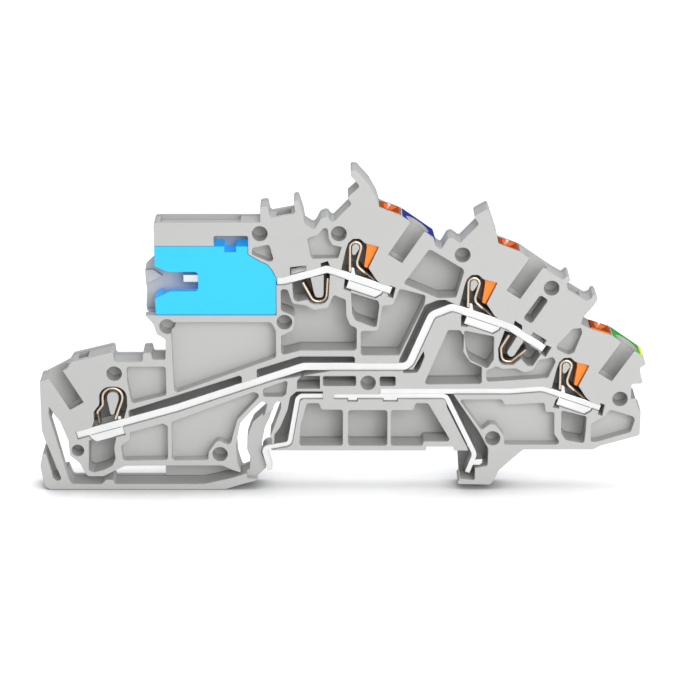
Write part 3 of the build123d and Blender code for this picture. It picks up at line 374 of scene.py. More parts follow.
@dataclass(frozen=True)
class Level:
    """One level of the block, whose pieces keep their places beside the clamp's window.

    Attributes:
        window: Middle of the window in the level's bar, x and z in mm.
        bar: Thickness of the bar, in mm.
        bar_lean: Lean of the bar's upright, in degrees.
        mouth_beside: Middle of the wire funnel's mouth, from the window, in mm.
        wire_lean: Lean of the wire funnel, in degrees.
        button_beside: Middle of the push button's top, from the window, in mm.
        button_lean: Lean of the push button, in degrees.
    """

    window: Place
    bar: float
    bar_lean: float = 19.5
    mouth_beside: Place = (8.85, 10.05)
    wire_lean: float = 33.7
    button_beside: Place = (4.15, 12.75)
    button_lean: float = 26.6

    def beside(self, path: Sequence[Corner]) -> list[Corner]:
        """Set down a path that is drawn from the window.

        Args:
            path: Corners from the window's middle, in mm; a third number is a radius.

        Returns:
            The corners in the side plane.
        """
        x, z = self.window
        return [(corner[0] + x, corner[1] + z, *corner[2:]) for corner in path]

    def on_bar(self) -> Upright:
        """Give the upright of the bar at the window."""
        return Upright(self.window, self.bar_lean)

    def wire_way(self) -> Upright:
        """Give the axis of the wire funnel, which stands in its mouth."""
        return Upright(self.beside([self.mouth_beside])[0], self.wire_lean)

    def button(self) -> Upright:
        """Give the axis of the push button, which stands in the middle of its top."""
        return Upright(self.beside([self.button_beside])[0], self.button_lean)


LEVELS = {
    "n": Level((-0.9, 31.1), 1.3), "l": Level((19.5, 24.6), 1.35), "pe": Level((35.8, 9.45), 1.05)}
LEFT_CLAMP = Upright((-46.3, 4.27), -16.25)
LEFT_WIRE_WAY = Upright((-54.8, 14.3), -30.5)


class Finish(Protocol):
    """What every finish has."""

    name: str

    def make(self) -> bpy.types.Material:
        """Build the material."""


@dataclass(frozen=True)
class MouldedPlastic:
    """Finely eroded moulded plastic.

    Attributes:
        name: The material's name.
        face: Colour of the outer faces.
        painted_hollow_shade: Colour low in the pockets, which paints the shade that falls there.
        hollow_depths: Depths y at which that painted shade starts and is whole, in mm.
        roughness: Mean roughness.
        ior: Index of refraction, which sets the gloss.
        shade: Colour of the floors that little light reaches, if there are any.
        shaded: Depths y between which such a floor lies, in mm.
        shade_fade: Depth over which the shade starts and ends, in mm.
        wire_ways: Axes of the wire ways, which are never shaded.
        wire_way_length: How far down a wire way reaches, and where it has ended, in mm.
        wire_way_wall: Squares of the distances from its axis at which it ends, in mm2.
        painted_top_shade: Painted shade on the faces that look up, as a colour, if there is any.
        looking_up: Upward part of the normal at which that colour starts and is whole.
        glow: Strength of a painted glow in the pocket colour, standing in for light from behind.
        edge: Radius of the softened edges, in mm.
        grain: Noise of the eroded surface.
        grain_strength: Strength of the bump that it gives.
        grain_rise: Height of the grain, in mm.
        flow: Noise of the marks left by the flow in the mould.
        flow_roughness: How much those marks change the roughness.
        clouds: Noise of the cloudy tint.
        cloudy: Noise at which the tint starts and is whole.
        cloud_share: Share of the tint.
        cloud_tone: Brightness of the tint, beside the outer faces.
    """

    name: str
    face: Colour
    painted_hollow_shade: Colour
    hollow_depths: Place = (-2.3, 1.6)
    roughness: float = 0.5
    ior: float = 1.5
    shade: Colour | None = None
    shaded: Place | None = None
    shade_fade: float = 0.08
    wire_ways: tuple[Upright, ...] = ()
    wire_way_length: Place = (-7.5, -8.0)
    wire_way_wall: Place = (5.8, 7.0)
    painted_top_shade: Colour | None = None
    looking_up: Place = (0.4, 0.8)
    glow: float = 0.0
    edge: float = 0.12
    grain: Noise = Noise(9000.0, 2.0)
    grain_strength: float = 0.25
    grain_rise: float = 0.01
    flow: Noise = Noise(160.0, 3.0, stretch=(1.0, 1.0, 2.5))
    flow_roughness: float = 0.1
    clouds: Noise = Noise(55.0, 2.0)
    cloudy: Place = (0.42, 0.72)
    cloud_share: float = 0.25
    cloud_tone: float = 0.94

    def outside_wire_ways(self, bench: FinishBench) -> Signal | float:
        """Tell what lies outside the wire ways.

        Args:
            bench: The bench that builds the material.

        Returns:
            1 outside every wire way, 0 in one.
        """
        x, _, z = bench.axes()
        reached, ended = self.wire_way_length
        outside: Signal | float = 1.0
        for wire_way in self.wire_ways:
            across, along = wire_way.measure(x, z)
            beside = (across * across).ramp(*self.wire_way_wall)
            inside = along.ramp(ended, reached) * (1.0 - beside)
            outside = (1.0 - inside) * outside
        return outside

    def colour(self, bench: FinishBench) -> bpy.types.NodeSocket:
        """Give the colour over the surface.

        Args:
            bench: The bench that builds the material.

        Returns:
            The colour's socket.
        """
        depth = bench.axes()[1]
        # Painted shade: the colour darkens from the outer faces to the pocket colour deep in the
        # pockets.
        colour = bench.blend(depth.ramp(*self.hollow_depths), self.face, self.painted_hollow_shade)
        tint = tuple(value * self.cloud_tone for value in self.face)
        clouds = bench.noise(self.clouds).ramp(*self.cloudy)
        colour = bench.blend(clouds * self.cloud_share, colour, tint)
        if self.shaded is not None:
            start, end = self.shaded
            band = (depth.ramp(start - self.shade_fade, start)
                    * (1.0 - depth.ramp(end, end + self.shade_fade)))
            colour = bench.blend(band * self.outside_wire_ways(bench), colour, self.shade)
        # Painted shade: the faces that look up are darker, in the top colour.
        if self.painted_top_shade is not None:
            normal = bench.add("ShaderNodeNewGeometry").outputs["Normal"]
            height = bench.add("ShaderNodeSeparateXYZ", None, {0: normal}).outputs["Z"]
            upward = Signal(bench, height).ramp(*self.looking_up)
            colour = bench.blend(upward, colour, self.painted_top_shade)
        return colour

    def make(self) -> bpy.types.Material:
        """Build the material."""
        bench = FinishBench(self.name)
        flow = bench.noise(self.flow)
        values = {
            "Base Color": self.colour(bench),
            "Roughness": self.roughness - self.flow_roughness / 2 + flow * self.flow_roughness,
            "IOR": self.ior,
            "Normal": bench.bump(bench.noise(self.grain), self.grain_strength, self.grain_rise,
                                 bench.soft_edges(self.edge)),
        }
        # Painted glow: the surface gives off light in its pocket colour, more towards the back.
        if self.glow > 0:
            depth = bench.axes()[1].ramp(*self.hollow_depths)
            values["Emission Color"] = bench.blend(depth, (0.0, 0.0, 0.0), self.painted_hollow_shade)
            values["Emission Strength"] = self.glow
        return bench.surface(values)


@dataclass(frozen=True)
class TippedPlastic(MouldedPlastic):
    """Moulded plastic whose outer end has a second colour.

    Attributes:
        tip: The second colour.
        tip_from: Place x at which it starts, in mm.
        tip_fade: Half the length over which the colours meet, in mm.
    """

    tip: Colour = (0.75, 0.8, 0.02)
    tip_from: float = 46.9
    tip_fade: float = 0.15

    def colour(self, bench: FinishBench) -> bpy.types.NodeSocket:
        """Give the colour over the surface.

        Args:
            bench: The bench that builds the material.

        Returns:
            The colour's socket.
        """
        x = bench.axes()[0]
        share = x.ramp(self.tip_from - self.tip_fade, self.tip_from + self.tip_fade)
        return bench.blend(share, super().colour(bench), self.tip)


@dataclass(frozen=True)
class PlatedMetal:
    """Punched and bent strip with a bright tin plating.

    Attributes:
        name: The material's name.
        bright: Colour of the plating.
        dull: Colour of its cloudy spots.
        roughness: Mean roughness.
        metallic: Share of metal.
        edge: Radius of the softened edges, in mm.
        clouds: Noise of the cloudy spots.
        cloudy: Noise at which a spot starts and is whole.
        cloud_share: Share of the dull colour in a spot.
        cloud_roughness: How much the spots change the roughness.
        lines: Noise of the fine lines across the strip.
        line_roughness: How much the lines change the roughness.
        line_strength: Strength of the bump that the lines give.
        line_rise: Height of the lines, in mm.
    """

    name: str
    bright: Colour
    dull: Colour
    roughness: float = 0.3
    metallic: float = 0.85
    edge: float = 0.15
    clouds: Noise = Noise(220.0, 4.0)
    cloudy: Place = (0.4, 0.7)
    cloud_share: float = 0.6
    cloud_roughness: float = 0.12
    lines: Noise = Noise(900.0, 2.0, stretch=(0.15, 4.0, 0.15))
    line_roughness: float = 0.06
    line_strength: float = 0.12
    line_rise: float = 0.02

    def make(self) -> bpy.types.Material:
        """Build the material."""
        bench = FinishBench(self.name)
        clouds = bench.noise(self.clouds)
        lines = bench.noise(self.lines)
        spots = clouds.ramp(*self.cloudy) * self.cloud_share
        smoothest = self.roughness - self.cloud_roughness / 2
        return bench.surface({
            "Base Color": bench.blend(spots, self.bright, self.dull),
            "Roughness": smoothest + clouds * self.cloud_roughness + lines * self.line_roughness,
            "Metallic": self.metallic,
            "Normal": bench.bump(lines, self.line_strength, self.line_rise,
                                 bench.soft_edges(self.edge)),
        })


@dataclass(frozen=True)
class SpringSteel:
    """Blank rolled steel strip with tanned cut edges.

    Attributes:
        name: The material's name.
        face: Colour of the rolled faces.
        edge: Colour of the cut edges.
        depths: Depths y of the front edge and the back edge, in mm.
        edge_fade: Distances from an edge between which its colour fades out, in mm.
        roughness: Roughness where no streak is.
        metallic: Share of metal.
        streaks: Noise of the streaks along the strip.
        streaky: Noise at which a streak starts and is whole.
        streak_share: Share of a streak's colour.
        streak_tone: Brightness of a streak, beside the rolled faces.
        streak_roughness: How much the streaks change the roughness.
        streak_strength: Strength of the bump that they give.
        streak_rise: Height of the streaks, in mm.
    """

    name: str
    face: Colour
    edge: Colour
    depths: Place = (-2.0, 1.2)
    edge_fade: Place = (0.01, 0.06)
    roughness: float = 0.26
    metallic: float = 0.9
    streaks: Noise = Noise(500.0, 3.0, Wave.RIDGE, (1.0, 0.2, 1.0))
    streaky: Place = (0.2, 1.2)
    streak_share: float = 0.5
    streak_tone: float = 0.7
    streak_roughness: float = 0.1
    streak_strength: float = 0.08
    streak_rise: float = 0.01

    def make(self) -> bpy.types.Material:
        """Build the material."""
        bench = FinishBench(self.name)
        depth = bench.axes()[1]
        front, back = self.depths
        near, far = self.edge_fade
        on_edge = (1.0 - depth.ramp(front + near, front + far)
                   + depth.ramp(back - far, back - near)).clamp()
        streaks = bench.noise(self.streaks)
        face = bench.blend(streaks.ramp(*self.streaky) * self.streak_share, self.face,
                           tuple(value * self.streak_tone for value in self.face))
        return bench.surface({
            "Base Color": bench.blend(on_edge, face, self.edge),
            "Roughness": self.roughness + streaks * self.streak_roughness,
            "Metallic": self.metallic,
            "Normal": bench.bump(streaks, self.streak_strength, self.streak_rise),
        })


@dataclass(frozen=True)
class StudioWhite:
    """Plain pale floor that stays white in the camera, with a shadow both cast and painted.

    Attributes:
        name: The material's name.
        tone: Colour of the floor.
        glow: Share of plain white that the camera sees.
        strength: Brightness of that white.
        dark: Colour of the painted shadow on the floor right beside the block.
        reach: How far from the block the painted shadow reaches, in mm.
        openness: Shares of open sky between which the floor turns from dark to pale.
        samples: Rays that tell how open the sky is.
    """

    name: str
    tone: Colour = (0.90, 0.90, 0.90)
    glow: float = 0.5
    strength: float = 1.5
    dark: Colour = (0.42, 0.42, 0.42)
    reach: float = 14.0
    openness: Place = (0.30, 0.95)
    samples: int = 8

    def make(self) -> bpy.types.Material:
        """Build the material."""
        bench = FinishBench(self.name)
        path = bench.add("ShaderNodeLightPath")
        seen, mirrored = (Signal(bench, path.outputs[ray]) * self.glow
                          for ray in ("Is Camera Ray", "Is Glossy Ray"))
        matt, dark = (bench.add("ShaderNodeBsdfDiffuse", None, {"Color": (*colour, 1.0)})
                      for colour in (self.tone, self.dark))
        white = bench.add("ShaderNodeEmission", None,
                          {"Color": (1.0, 1.0, 1.0, 1.0), "Strength": self.strength})
        pale = bench.layer((seen + mirrored).clamp(), matt, white)
        # Painted shadow: the floor turns dark where the block hides the sky from it.
        near = bench.add("ShaderNodeAmbientOcclusion", {"samples": self.samples},
                         {"Distance": self.reach * MM})
        open_sky = Signal(bench, near.outputs["AO"]).ramp(*self.openness)
        return bench.finish(bench.layer(open_sky, dark, pale))


# Each finish's pocket colour paints the shade deep in its pockets.
GREY = MouldedPlastic(
    "light grey plastic", face=(0.435, 0.435, 0.423), painted_hollow_shade=(0.42, 0.42, 0.412),
    shade=(0.19, 0.19, 0.187), shaded=(1.3, 1.5),
    wire_ways=(*(level.wire_way() for level in LEVELS.values()), LEFT_WIRE_WAY))
# The sky blue plastic has a painted glow, standing in for light through it from behind.
SKY_BLUE = MouldedPlastic(
    "sky blue plastic", face=(0.017, 0.505, 0.87), painted_hollow_shade=(0.012, 0.33, 0.80),
    hollow_depths=(-2.4, -1.6), glow=0.5)
DARK_BLUE = MouldedPlastic(
    "dark blue plastic", face=(0.006, 0.017, 0.30), painted_hollow_shade=(0.006, 0.015, 0.24),
    roughness=0.7, ior=1.25)
GREEN = TippedPlastic(
    "green plastic", face=(0.02, 0.42, 0.02), painted_hollow_shade=(0.015, 0.34, 0.02),
    roughness=0.7, ior=1.25)
# The orange tops are painted darker, as shade on the faces that look up.
ORANGE = MouldedPlastic(
    "orange plastic", face=(0.90, 0.24, 0.045), painted_hollow_shade=(0.72, 0.16, 0.03),
    roughness=0.8, ior=1.2, painted_top_shade=(0.34, 0.06, 0.008))
PALE = MouldedPlastic("pale mark", face=(0.86, 0.72, 0.62), painted_hollow_shade=(0.86, 0.72, 0.62))
SHADOW = MouldedPlastic("joint shadow", face=(0.16, 0.16, 0.16), painted_hollow_shade=(0.16, 0.16, 0.16))
TIN = PlatedMetal("tinned strip", bright=(0.75, 0.75, 0.745), dull=(0.67, 0.67, 0.655))
STEEL = SpringSteel("spring steel", face=(0.26, 0.22, 0.18), edge=(0.70, 0.56, 0.43))


def metres(point: Sequence[float]) -> Vector:
    """Turn a point in millimetres into metres.

    Args:
        point: Three lengths in millimetres.

    Returns:
        The point in metres.
    """
    return Vector(point) * MM


def paint(piece: bpy.types.Object, material: bpy.types.Material) -> None:
    """Give a piece one material.

    Args:
        piece: The piece.
        material: Its finish.
    """
    if not piece.material_slots:
        piece.data.materials.append(material)
    for slot in piece.material_slots:
        slot.material = material


def put(name: str, data: Any) -> bpy.types.Object:
    """Put a mesh, a curve, a lamp or a camera in the scene.

    Args:
        name: Name of the new object.
        data: What it shows.

    Returns:
        The object, at the origin.
    """
    thing = bpy.data.objects.new(name, data)
    bpy.context.scene.collection.objects.link(thing)
    return thing


def aim(thing: bpy.types.Object, place: Triple, target: Triple) -> None:
    """Stand a lamp or a camera somewhere and turn it to a target.

    Args:
        thing: The lamp or the camera.
        place: Where it stands, in mm.
        target: Where it looks, in mm.
    """
    thing.location = metres(place)
    sight = metres(target) - thing.location
    thing.rotation_euler = sight.to_track_quat("-Z", "Y").to_euler()


def skin(name: str, rings: Sequence[Sequence[Vector]],
         material: bpy.types.Material) -> bpy.types.Object:
    """Span a closed piece over a row of rings.

    Args:
        name: Name of the new piece.
        rings: Rings of equally many points, in mm; the first and the last are filled.
        material: Its finish.

    Returns:
        The piece, in place.
    """
    shape = bmesh.new()
    rows = [[shape.verts.new(metres(point)) for point in ring] for ring in rings]
    for first, second in zip(rows, rows[1:]):
        for index, corner in enumerate(first):
            following = (index + 1) % len(first)
            shape.faces.new((corner, first[following], second[following], second[index]))
    shape.faces.new(rows[0])
    shape.faces.new(rows[-1][::-1])
    bmesh.ops.recalc_face_normals(shape, faces=shape.faces)
    mesh = bpy.data.meshes.new(name)
    shape.to_mesh(mesh)
    shape.free()
    piece = put(name, mesh)
    paint(piece, material)
    return piece


def bend_points(path: Sequence[Corner], step: float = 12.0) -> list[Place]:
    """Walk along a path of straight legs and round bends.

    Args:
        path: Corners x and z in mm; a third number is the bend's radius.
        step: Most degrees between two points of a bend.

    Returns:
        The points of the line, in mm.
    """
    line = [path[0][:2]]
    for before, corner, after in zip(path, path[1:], path[2:]):
        here = Vector(corner[:2])
        back = (Vector(before[:2]) - here).normalized()
        onward = (Vector(after[:2]) - here).normalized()
        half = back.angle(onward) / 2
        radius = corner[2] if len(corner) > 2 else 0.0
        centre = here + (back + onward).normalized() * (radius / math.sin(half))
        start = here + back * (radius / math.tan(half)) - centre
        turn = math.pi - 2 * half
        if back.cross(onward) > 0:
            turn = -turn
        count = max(2, int(abs(math.degrees(turn)) / step) + 1)
        for index in range(count + 1):
            angle = turn * index / count
            x = start.x * math.cos(angle) - start.y * math.sin(angle)
            z = start.x * math.sin(angle) + start.y * math.cos(angle)
            line.append((centre.x + x, centre.y + z))
    line.append(path[-1][:2])
    return line


@dataclass
class SpringForge:
    """Geometry Nodes tree that bends a flat strip along a curve.

    Attributes:
        width: Width of the strip across the block, in mm.
        thickness: Thickness of the strip, in mm.
        middle: Depth y of the strip's middle, in mm.
        tongue: Width that is left at the clamping end, in mm.
        shoulder: Share of the strip's length at which the tongue starts.
        cuts: Points that are added on each stretch of the curve.
        weld: Distance under which two points become one, in mm.
        tree: The tree, once it is built.
    """

    width: float = 3.2
    thickness: float = 0.4
    middle: float = -0.4
    tongue: float = 2.5
    shoulder: float = 0.86
    cuts: int = 3
    weld: float = 0.001
    tree: bpy.types.NodeTree | None = field(default=None, init=False)

    def grow(self) -> bpy.types.NodeTree:
        """Build the tree.

        Returns:
            The tree, with named inputs for the strip's sizes and its finish.
        """
        tree = bpy.data.node_groups.new("bent strip", "GeometryNodeTree")
        bench = Bench(tree)
        sockets = {"Geometry": "NodeSocketGeometry", "Finish": "NodeSocketMaterial",
                   **dict.fromkeys(("Width", "Thickness", "Tongue", "Shoulder"),
                                   "NodeSocketFloat")}
        for name, kind in sockets.items():
            tree.interface.new_socket(name, in_out="INPUT", socket_type=kind)
        tree.interface.new_socket("Geometry", in_out="OUTPUT", socket_type="NodeSocketGeometry")
        source = bench.add("NodeGroupInput").outputs
        finer = bench.add("GeometryNodeSubdivideCurve", None,
                          {"Curve": source["Geometry"], "Cuts": self.cuts})
        upright = bench.add("GeometryNodeSetCurveNormal", {"mode": "FREE"},
                            {"Curve": finer.outputs["Curve"], "Normal": (0.0, 1.0, 0.0)})
        along = bench.add("GeometryNodeSplineParameter")
        marked = bench.add("GeometryNodeCaptureAttribute")
        marked.capture_items.new("FLOAT", "Factor")
        bench.plug(marked, {"Geometry": upright.outputs["Curve"],
                            "Factor": along.outputs["Factor"]})
        profile = bench.add("GeometryNodeCurvePrimitiveQuadrilateral", None,
                            {"Width": source["Width"], "Height": source["Thickness"]})
        strip = bench.add("GeometryNodeCurveToMesh", None, {
            "Curve": marked.outputs["Geometry"], "Profile Curve": profile.outputs["Curve"],
            "Fill Caps": True})
        past = bench.add("FunctionNodeCompare",
                         {"data_type": "FLOAT", "operation": "GREATER_THAN"},
                         {"A": marked.outputs["Factor"], "B": source["Shoulder"]})
        share = bench.add("GeometryNodeSwitch", {"input_type": "FLOAT"}, {
            "Switch": past.outputs["Result"], "False": 1.0, "True": source["Tongue"]})
        place = bench.add("GeometryNodeInputPosition")
        parts = bench.add("ShaderNodeSeparateXYZ", None, {0: place.outputs["Position"]}).outputs
        narrowed = Signal(bench, parts["Y"]) * Signal(bench, share.outputs["Output"])
        moved = bench.add("ShaderNodeCombineXYZ", None,
                          {"X": parts["X"], "Y": narrowed, "Z": parts["Z"]})
        shaped = bench.add("GeometryNodeSetPosition", None, {
            "Geometry": strip.outputs["Mesh"], "Position": moved.outputs[0]})
        real = bench.add("GeometryNodeRealizeInstances", None,
                         {"Geometry": shaped.outputs["Geometry"]})
        dressed = bench.add("GeometryNodeSetMaterial", None, {
            "Geometry": real.outputs["Geometry"], "Material": source["Finish"]})
        bench.add("NodeGroupOutput", None, {"Geometry": dressed.outputs["Geometry"]})
        return tree

    def bend(self, name: str, path: Sequence[Corner], material: bpy.types.Material,
             narrow: bool = True) -> bpy.types.Object:
        """Bend one spring.

        Args:
            name: Name of the new piece.
            path: Its middle line in the side plane, in mm.
            material: Its finish.
            narrow: Whether its last leg narrows to a tongue.

        Returns:
            The spring as a plain mesh, in place.
        """
        self.tree = self.tree or self.grow()
        line = bend_points(path)
        curve = bpy.data.curves.new(name + "_line", "CURVE")
        curve.dimensions = "3D"
        spline = curve.splines.new("POLY")
        spline.points.add(len(line) - 1)
        for point, (x, z) in zip(spline.points, line):
            point.co = (x * MM, 0.0, z * MM, 1.0)
        holder = put(name + "_line", curve)
        modifier = holder.modifiers.new("strip", "NODES")
        modifier.node_group = self.tree
        values = {
            "Width": self.width * MM, "Thickness": self.thickness * MM,
            "Tongue": self.tongue / self.width if narrow else 1.0, "Shoulder": self.shoulder,
            "Finish": material,
        }
        for item in self.tree.interface.items_tree:
            if item.in_out == "INPUT" and item.name in values:
                modifier[item.identifier] = values[item.name]
        bpy.context.view_layer.update()
        graph = bpy.context.evaluated_depsgraph_get()
        mesh = bpy.data.meshes.new_from_object(holder.evaluated_get(graph))
        bpy.data.objects.remove(holder)
        shape = bmesh.new()
        shape.from_mesh(mesh)
        bmesh.ops.remove_doubles(shape, verts=shape.verts, dist=self.weld * MM)
        bmesh.ops.recalc_face_normals(shape, faces=shape.faces)
        for vertex in shape.verts:
            vertex.co.y += self.middle * MM
        shape.to_mesh(mesh)
        shape.free()
        return put(name, mesh)


@dataclass
class ClampSprings:
    """The clamp springs of the levels and of the left end, and the two jumper springs.

    Attributes:
        path: Middle line of a level's spring, from the middle of its window, in mm.
        pressed: Where the bend of a pressed spring starts and where it is whole, from the
            middle of the window, in mm.
        left_path: Middle line of the left clamp's spring, in mm.
        jumper_paths: Middle line of each jumper spring, from the middle of its level's window.
        forge: What bends them.
    """

    path: tuple[Corner, ...] = (
        (-2.7, 1.8), (-2.7, 7.1, 0.95), (-0.45, 7.1, 0.95), (-1.65, 2.94, 1.4), (1.9, -0.3))
    pressed: tuple[Place, Place] = ((-2.25, 0.0), (-0.4, -0.55))
    left_path: tuple[Corner, ...] = (
        (-44.7, 5.62), (-42.55, 11.45, 1.75), (-46.85, 11.45, 1.75), (-46.85, 8.3, 0.5),
        (-47.85, 7.0, 0.6), (-47.5, 4.5))
    jumper_paths: dict[str, tuple[Corner, ...]] = field(default_factory=lambda: {
        "n": ((-10.8, -0.2), (-9.0, -3.65, 1.3), (-6.75, -3.65, 1.3), (-6.45, 0.6)),
        "l": ((4.5, -3.3), (3.1, -5.7, 1.0), (3.4, -8.15, 1.1), (5.0, -8.2, 0.8), (7.5, -6.0))})
    forge: SpringForge = field(default_factory=SpringForge)

    def build(self, material: bpy.types.Material) -> list[bpy.types.Object]:
        """Bend every spring, and tie the left spring and the jumper springs to the housing.

        Args:
            material: The spring steel.

        Returns:
            The springs.
        """
        springs = []
        for name, level in LEVELS.items():
            spring = self.forge.bend(name + "_spring_strip", level.beside(self.path), material)
            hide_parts(name + "_clamp_spring")
            start, end = (metres((x, 0.0, z)) for x, z in level.beside(self.pressed))
            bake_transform(spring)
            springs.append(spring)
        left = self.forge.bend("left_spring_strip", self.left_path, material)
        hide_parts("left_clamp_spring")
        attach(left, "housing")
        springs.append(left)
        for name, path in self.jumper_paths.items():
            spring = self.forge.bend(name + "_jumper_strip", LEVELS[name].beside(path), material,
                                     narrow=False)
            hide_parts(name + "_jumper_spring")
            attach(spring, "housing")
            springs.append(spring)
        return springs


@dataclass
class ButtonMarks:
    """The small pale triangle moulded on top of each push button.

    Attributes:
        outline: Corners of the triangle: across the button from its middle, and depth y, in mm.
        foot: Level of its foot in the dimple, from the middle of the button's top, in mm.
        top: Level of its top, from the middle of the button's top, in mm.
    """

    outline: tuple[Place, ...] = ((-0.15, 0.3), (0.2, 1.75), (-0.5, 1.75))
    foot: float = -0.95
    top: float = 0.03

    def build(self, material: bpy.types.Material) -> list[bpy.types.Object]:
        """Set one mark on each button.

        Args:
            material: The pale finish.

        Returns:
            The marks.
        """
        marks = []
        for name, level in LEVELS.items():
            axis = level.button()
            rings = [[axis.point(across, depth, lift) for across, depth in self.outline]
                     for lift in (self.foot, self.top)]
            mark = skin(name + "_button_mark", rings, material)
            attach(mark, name + "_push_button")
            marks.append(mark)
        return marks


@dataclass
class FunnelLips:
    """The grey lip of the wire funnel that shows inside each coloured frame.

    Attributes:
        framed: Levels whose funnel has a coloured frame.
        middle: Depth y of the funnels' axes, in mm.
        radius: Radius of their bore, in mm.
        wall: How far the lip stands into the bore, in mm.
        sunk: How far the lip reaches into the bore's wall, in mm.
        ends: Lower and upper end along the axis, from the mouth, in mm.
        reach: Angle to each side of the back at which the bore breaks the front, in degrees.
        flats: Flats of the lip.
    """

    framed: tuple[str, ...] = ("n", "pe")
    middle: float = -0.651
    radius: float = 2.4
    wall: float = 0.04
    sunk: float = 0.02
    ends: Place = (-0.9, -0.16)
    reach: float = 138.0
    flats: int = 32

    def build(self, material: bpy.types.Material) -> list[bpy.types.Object]:
        """Set one lip in each framed mouth.

        Args:
            material: The housing's finish.

        Returns:
            The lips.
        """
        low, high = self.ends
        inner, outer = self.radius - self.wall, self.radius + self.sunk
        profile = ((inner, low), (inner, high), (outer, high), (outer, low))
        lips = []
        for name in self.framed:
            axis = LEVELS[name].wire_way()
            rings = []
            for flat in range(self.flats + 1):
                angle = math.radians(self.reach) * (2 * flat / self.flats - 1)
                rings.append([axis.point(out * math.sin(angle),
                                         self.middle + out * math.cos(angle), along)
                              for out, along in profile])
            lip = skin(name + "_funnel_lip", rings, material)
            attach(lip, "housing")
            lips.append(lip)
        return lips


@dataclass
class JointShadowStrips:
    """Thin strip of painted shadow in the joint of each bar and the contact folded on beneath it.

    Attributes:
        front: Depth y of the bars' front, in mm.
        width: Width of the joint, in mm.
        proud: How far it stands before the bar, and lies in it, in mm.
        ends: Where a level's joint starts and ends along its bar, from the window, in mm.
        left_ends: The same for the left clamp.
    """

    front: float = -2.2
    width: float = 0.12
    proud: float = 0.02
    ends: Place = (-2.6, 3.0)
    left_ends: Place = (-3.0, 2.6)

    def build(self, material: bpy.types.Material) -> list[bpy.types.Object]:
        """Lay one strip of painted shadow along each contact.

        Args:
            material: The joint's finish.

        Returns:
            The joints.
        """
        bars = {name: (level.on_bar(), level.bar, self.ends) for name, level in LEVELS.items()}
        bars["left"] = (LEFT_CLAMP, LEVELS["l"].bar, self.left_ends)
        joints = []
        for name, (axis, thickness, (start, end)) in bars.items():
            low, high = (side * self.width / 2 - thickness / 2 for side in (-1, 1))
            section = ((start, low), (end, low), (end, high), (start, high))
            rings = [[axis.point(across, self.front + side * self.proud, along)
                      for across, along in section] for side in (-1, 1)]
            joint = skin(name + "_joint_shadow_strip", rings, material)
            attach(joint, "housing")
            joints.append(joint)
        return joints


@dataclass(frozen=True)
class SoftLamp:
    """Square soft lamp.

    Attributes:
        name: Its name.
        place: Its place, in mm.
        side: Length of its side, in mm.
        power: Its power, in watts.
        tint: Its colour.
    """

    name: str
    place: Triple
    side: float
    power: float
    tint: Colour

    def hang(self, target: Triple) -> None:
        """Hang the lamp.

        Args:
            target: Where it shines, in mm.
        """
        data = bpy.data.lights.new(self.name, "AREA")
        data.size = self.side * MM
        data.energy = self.power
        data.color = self.tint
        aim(put(self.name, data), self.place, target)


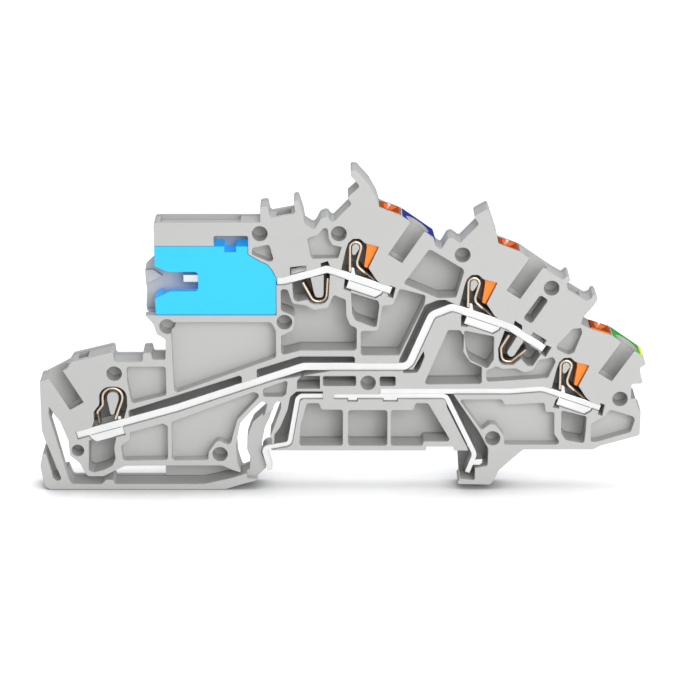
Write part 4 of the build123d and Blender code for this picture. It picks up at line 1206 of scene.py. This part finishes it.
@dataclass
class Studio:
    """Camera, soft lamps, sky and floor.

    Attributes:
        eye: Where the camera stands, in mm.
        target: Where it looks, and the lamps shine, in mm.
        lens: Focal length, in mm.
        sensor: Width of the camera's sensor, in mm.
        nearest: Nearest distance that the camera sees, in mm.
        sky: Colour of the sky.
        sky_strength: Brightness of the sky.
        floor: Height of the floor, in mm.
        floor_side: Length of the floor's side, in mm.
        lamps: The lamps.
    """

    eye: Triple = (-5.3, -424.4, 171.7)
    target: Triple = (-5.3, -2.6, 20.64)
    lens: float = 136.96
    sensor: float = 36.0
    nearest: float = 10.0
    sky: Colour = (0.97, 0.98, 1.0)
    sky_strength: float = 0.48
    floor: float = -7.5
    floor_side: float = 4000.0
    lamps: tuple[SoftLamp, ...] = (
        SoftLamp("key", (160.0, -640.0, 330.0), 420.0, 3.1, (1.0, 0.99, 0.97)),
        SoftLamp("fill", (420.0, -520.0, 160.0), 380.0, 1.2, (0.97, 0.98, 1.0)),
        SoftLamp("top", (0.0, 60.0, 470.0), 300.0, 1.1, (0.90, 0.93, 1.0)))

    def set_camera(self) -> None:
        """Set up the camera."""
        data = bpy.data.cameras.new("camera")
        data.lens = self.lens
        data.sensor_width = self.sensor
        data.clip_start = self.nearest * MM
        camera = put("camera", data)
        aim(camera, self.eye, self.target)
        bpy.context.scene.camera = camera

    def light(self) -> None:
        """Light the scene with the sky and the lamps."""
        world = bpy.data.worlds.new("soft daylight")
        world.use_nodes = True
        backdrop = world.node_tree.nodes["Background"]
        backdrop.inputs["Color"].default_value = (*self.sky, 1.0)
        backdrop.inputs["Strength"].default_value = self.sky_strength
        bpy.context.scene.world = world
        for lamp in self.lamps:
            lamp.hang(self.target)

    def lay_floor(self) -> None:
        """Lay the floor."""
        bpy.ops.mesh.primitive_plane_add(size=self.floor_side * MM,
                                         location=(0.0, 0.0, self.floor * MM))
        floor = bpy.context.active_object
        floor.name = "floor"
        paint(floor, StudioWhite("floor white").make())

    def build(self) -> None:
        """Set up the whole studio."""
        bpy.context.scene.view_settings.view_transform = "Standard"
        self.set_camera()
        self.light()
        self.lay_floor()


@dataclass
class Block:
    """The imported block, and which finish each of its pieces gets.

    Attributes:
        nodes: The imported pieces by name.
        wardrobe: The finishes, each with the pieces that get it.
        materials: The materials by the finish's name, once the block is dressed.
    """

    nodes: dict[str, bpy.types.Object]
    wardrobe: tuple[tuple[Finish, tuple[str, ...]], ...] = (
        (GREY, ("housing",)),
        (SKY_BLUE, ("n_slide",)),
        (DARK_BLUE, ("n_entry_frame",)),
        (GREEN, ("pe_entry_frame",)),
        (ORANGE, ("n_push_button", "l_push_button", "pe_push_button")),
        (TIN, ("n_slide_contact", "n_bar", "l_bar", "pe_bar", "pe_foot")),
        (STEEL, ("left_clamp_spring", "n_clamp_spring", "l_clamp_spring", "pe_clamp_spring",
                 "n_jumper_spring", "l_jumper_spring")))
    materials: dict[str, bpy.types.Material] = field(default_factory=dict, init=False)

    def dress(self) -> None:
        """Make every finish and give it to its pieces."""
        for finish, names in self.wardrobe:
            material = finish.make()
            self.materials[finish.name] = material
            for name in names:
                paint(self.nodes[name], material)
                LOG.info("dressed %s in %s", name, finish.name)


def main() -> None:
    """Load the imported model, dress it, add the drawn pieces and set up the studio."""
    logging.basicConfig(level=logging.INFO)
    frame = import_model()
    Studio().build()
    block = Block(frame["nodes"])
    block.dress()
    for spring in ClampSprings().build(block.materials[STEEL.name]):
        LOG.info("bent %s", spring.name)
    for mark in ButtonMarks().build(PALE.make()):
        LOG.info("set %s", mark.name)
    for lip in FunnelLips().build(block.materials[GREY.name]):
        LOG.info("set %s", lip.name)
    for joint in JointShadowStrips().build(SHADOW.make()):
        LOG.info("laid %s", joint.name)


if __name__ == "__main__":
    main()
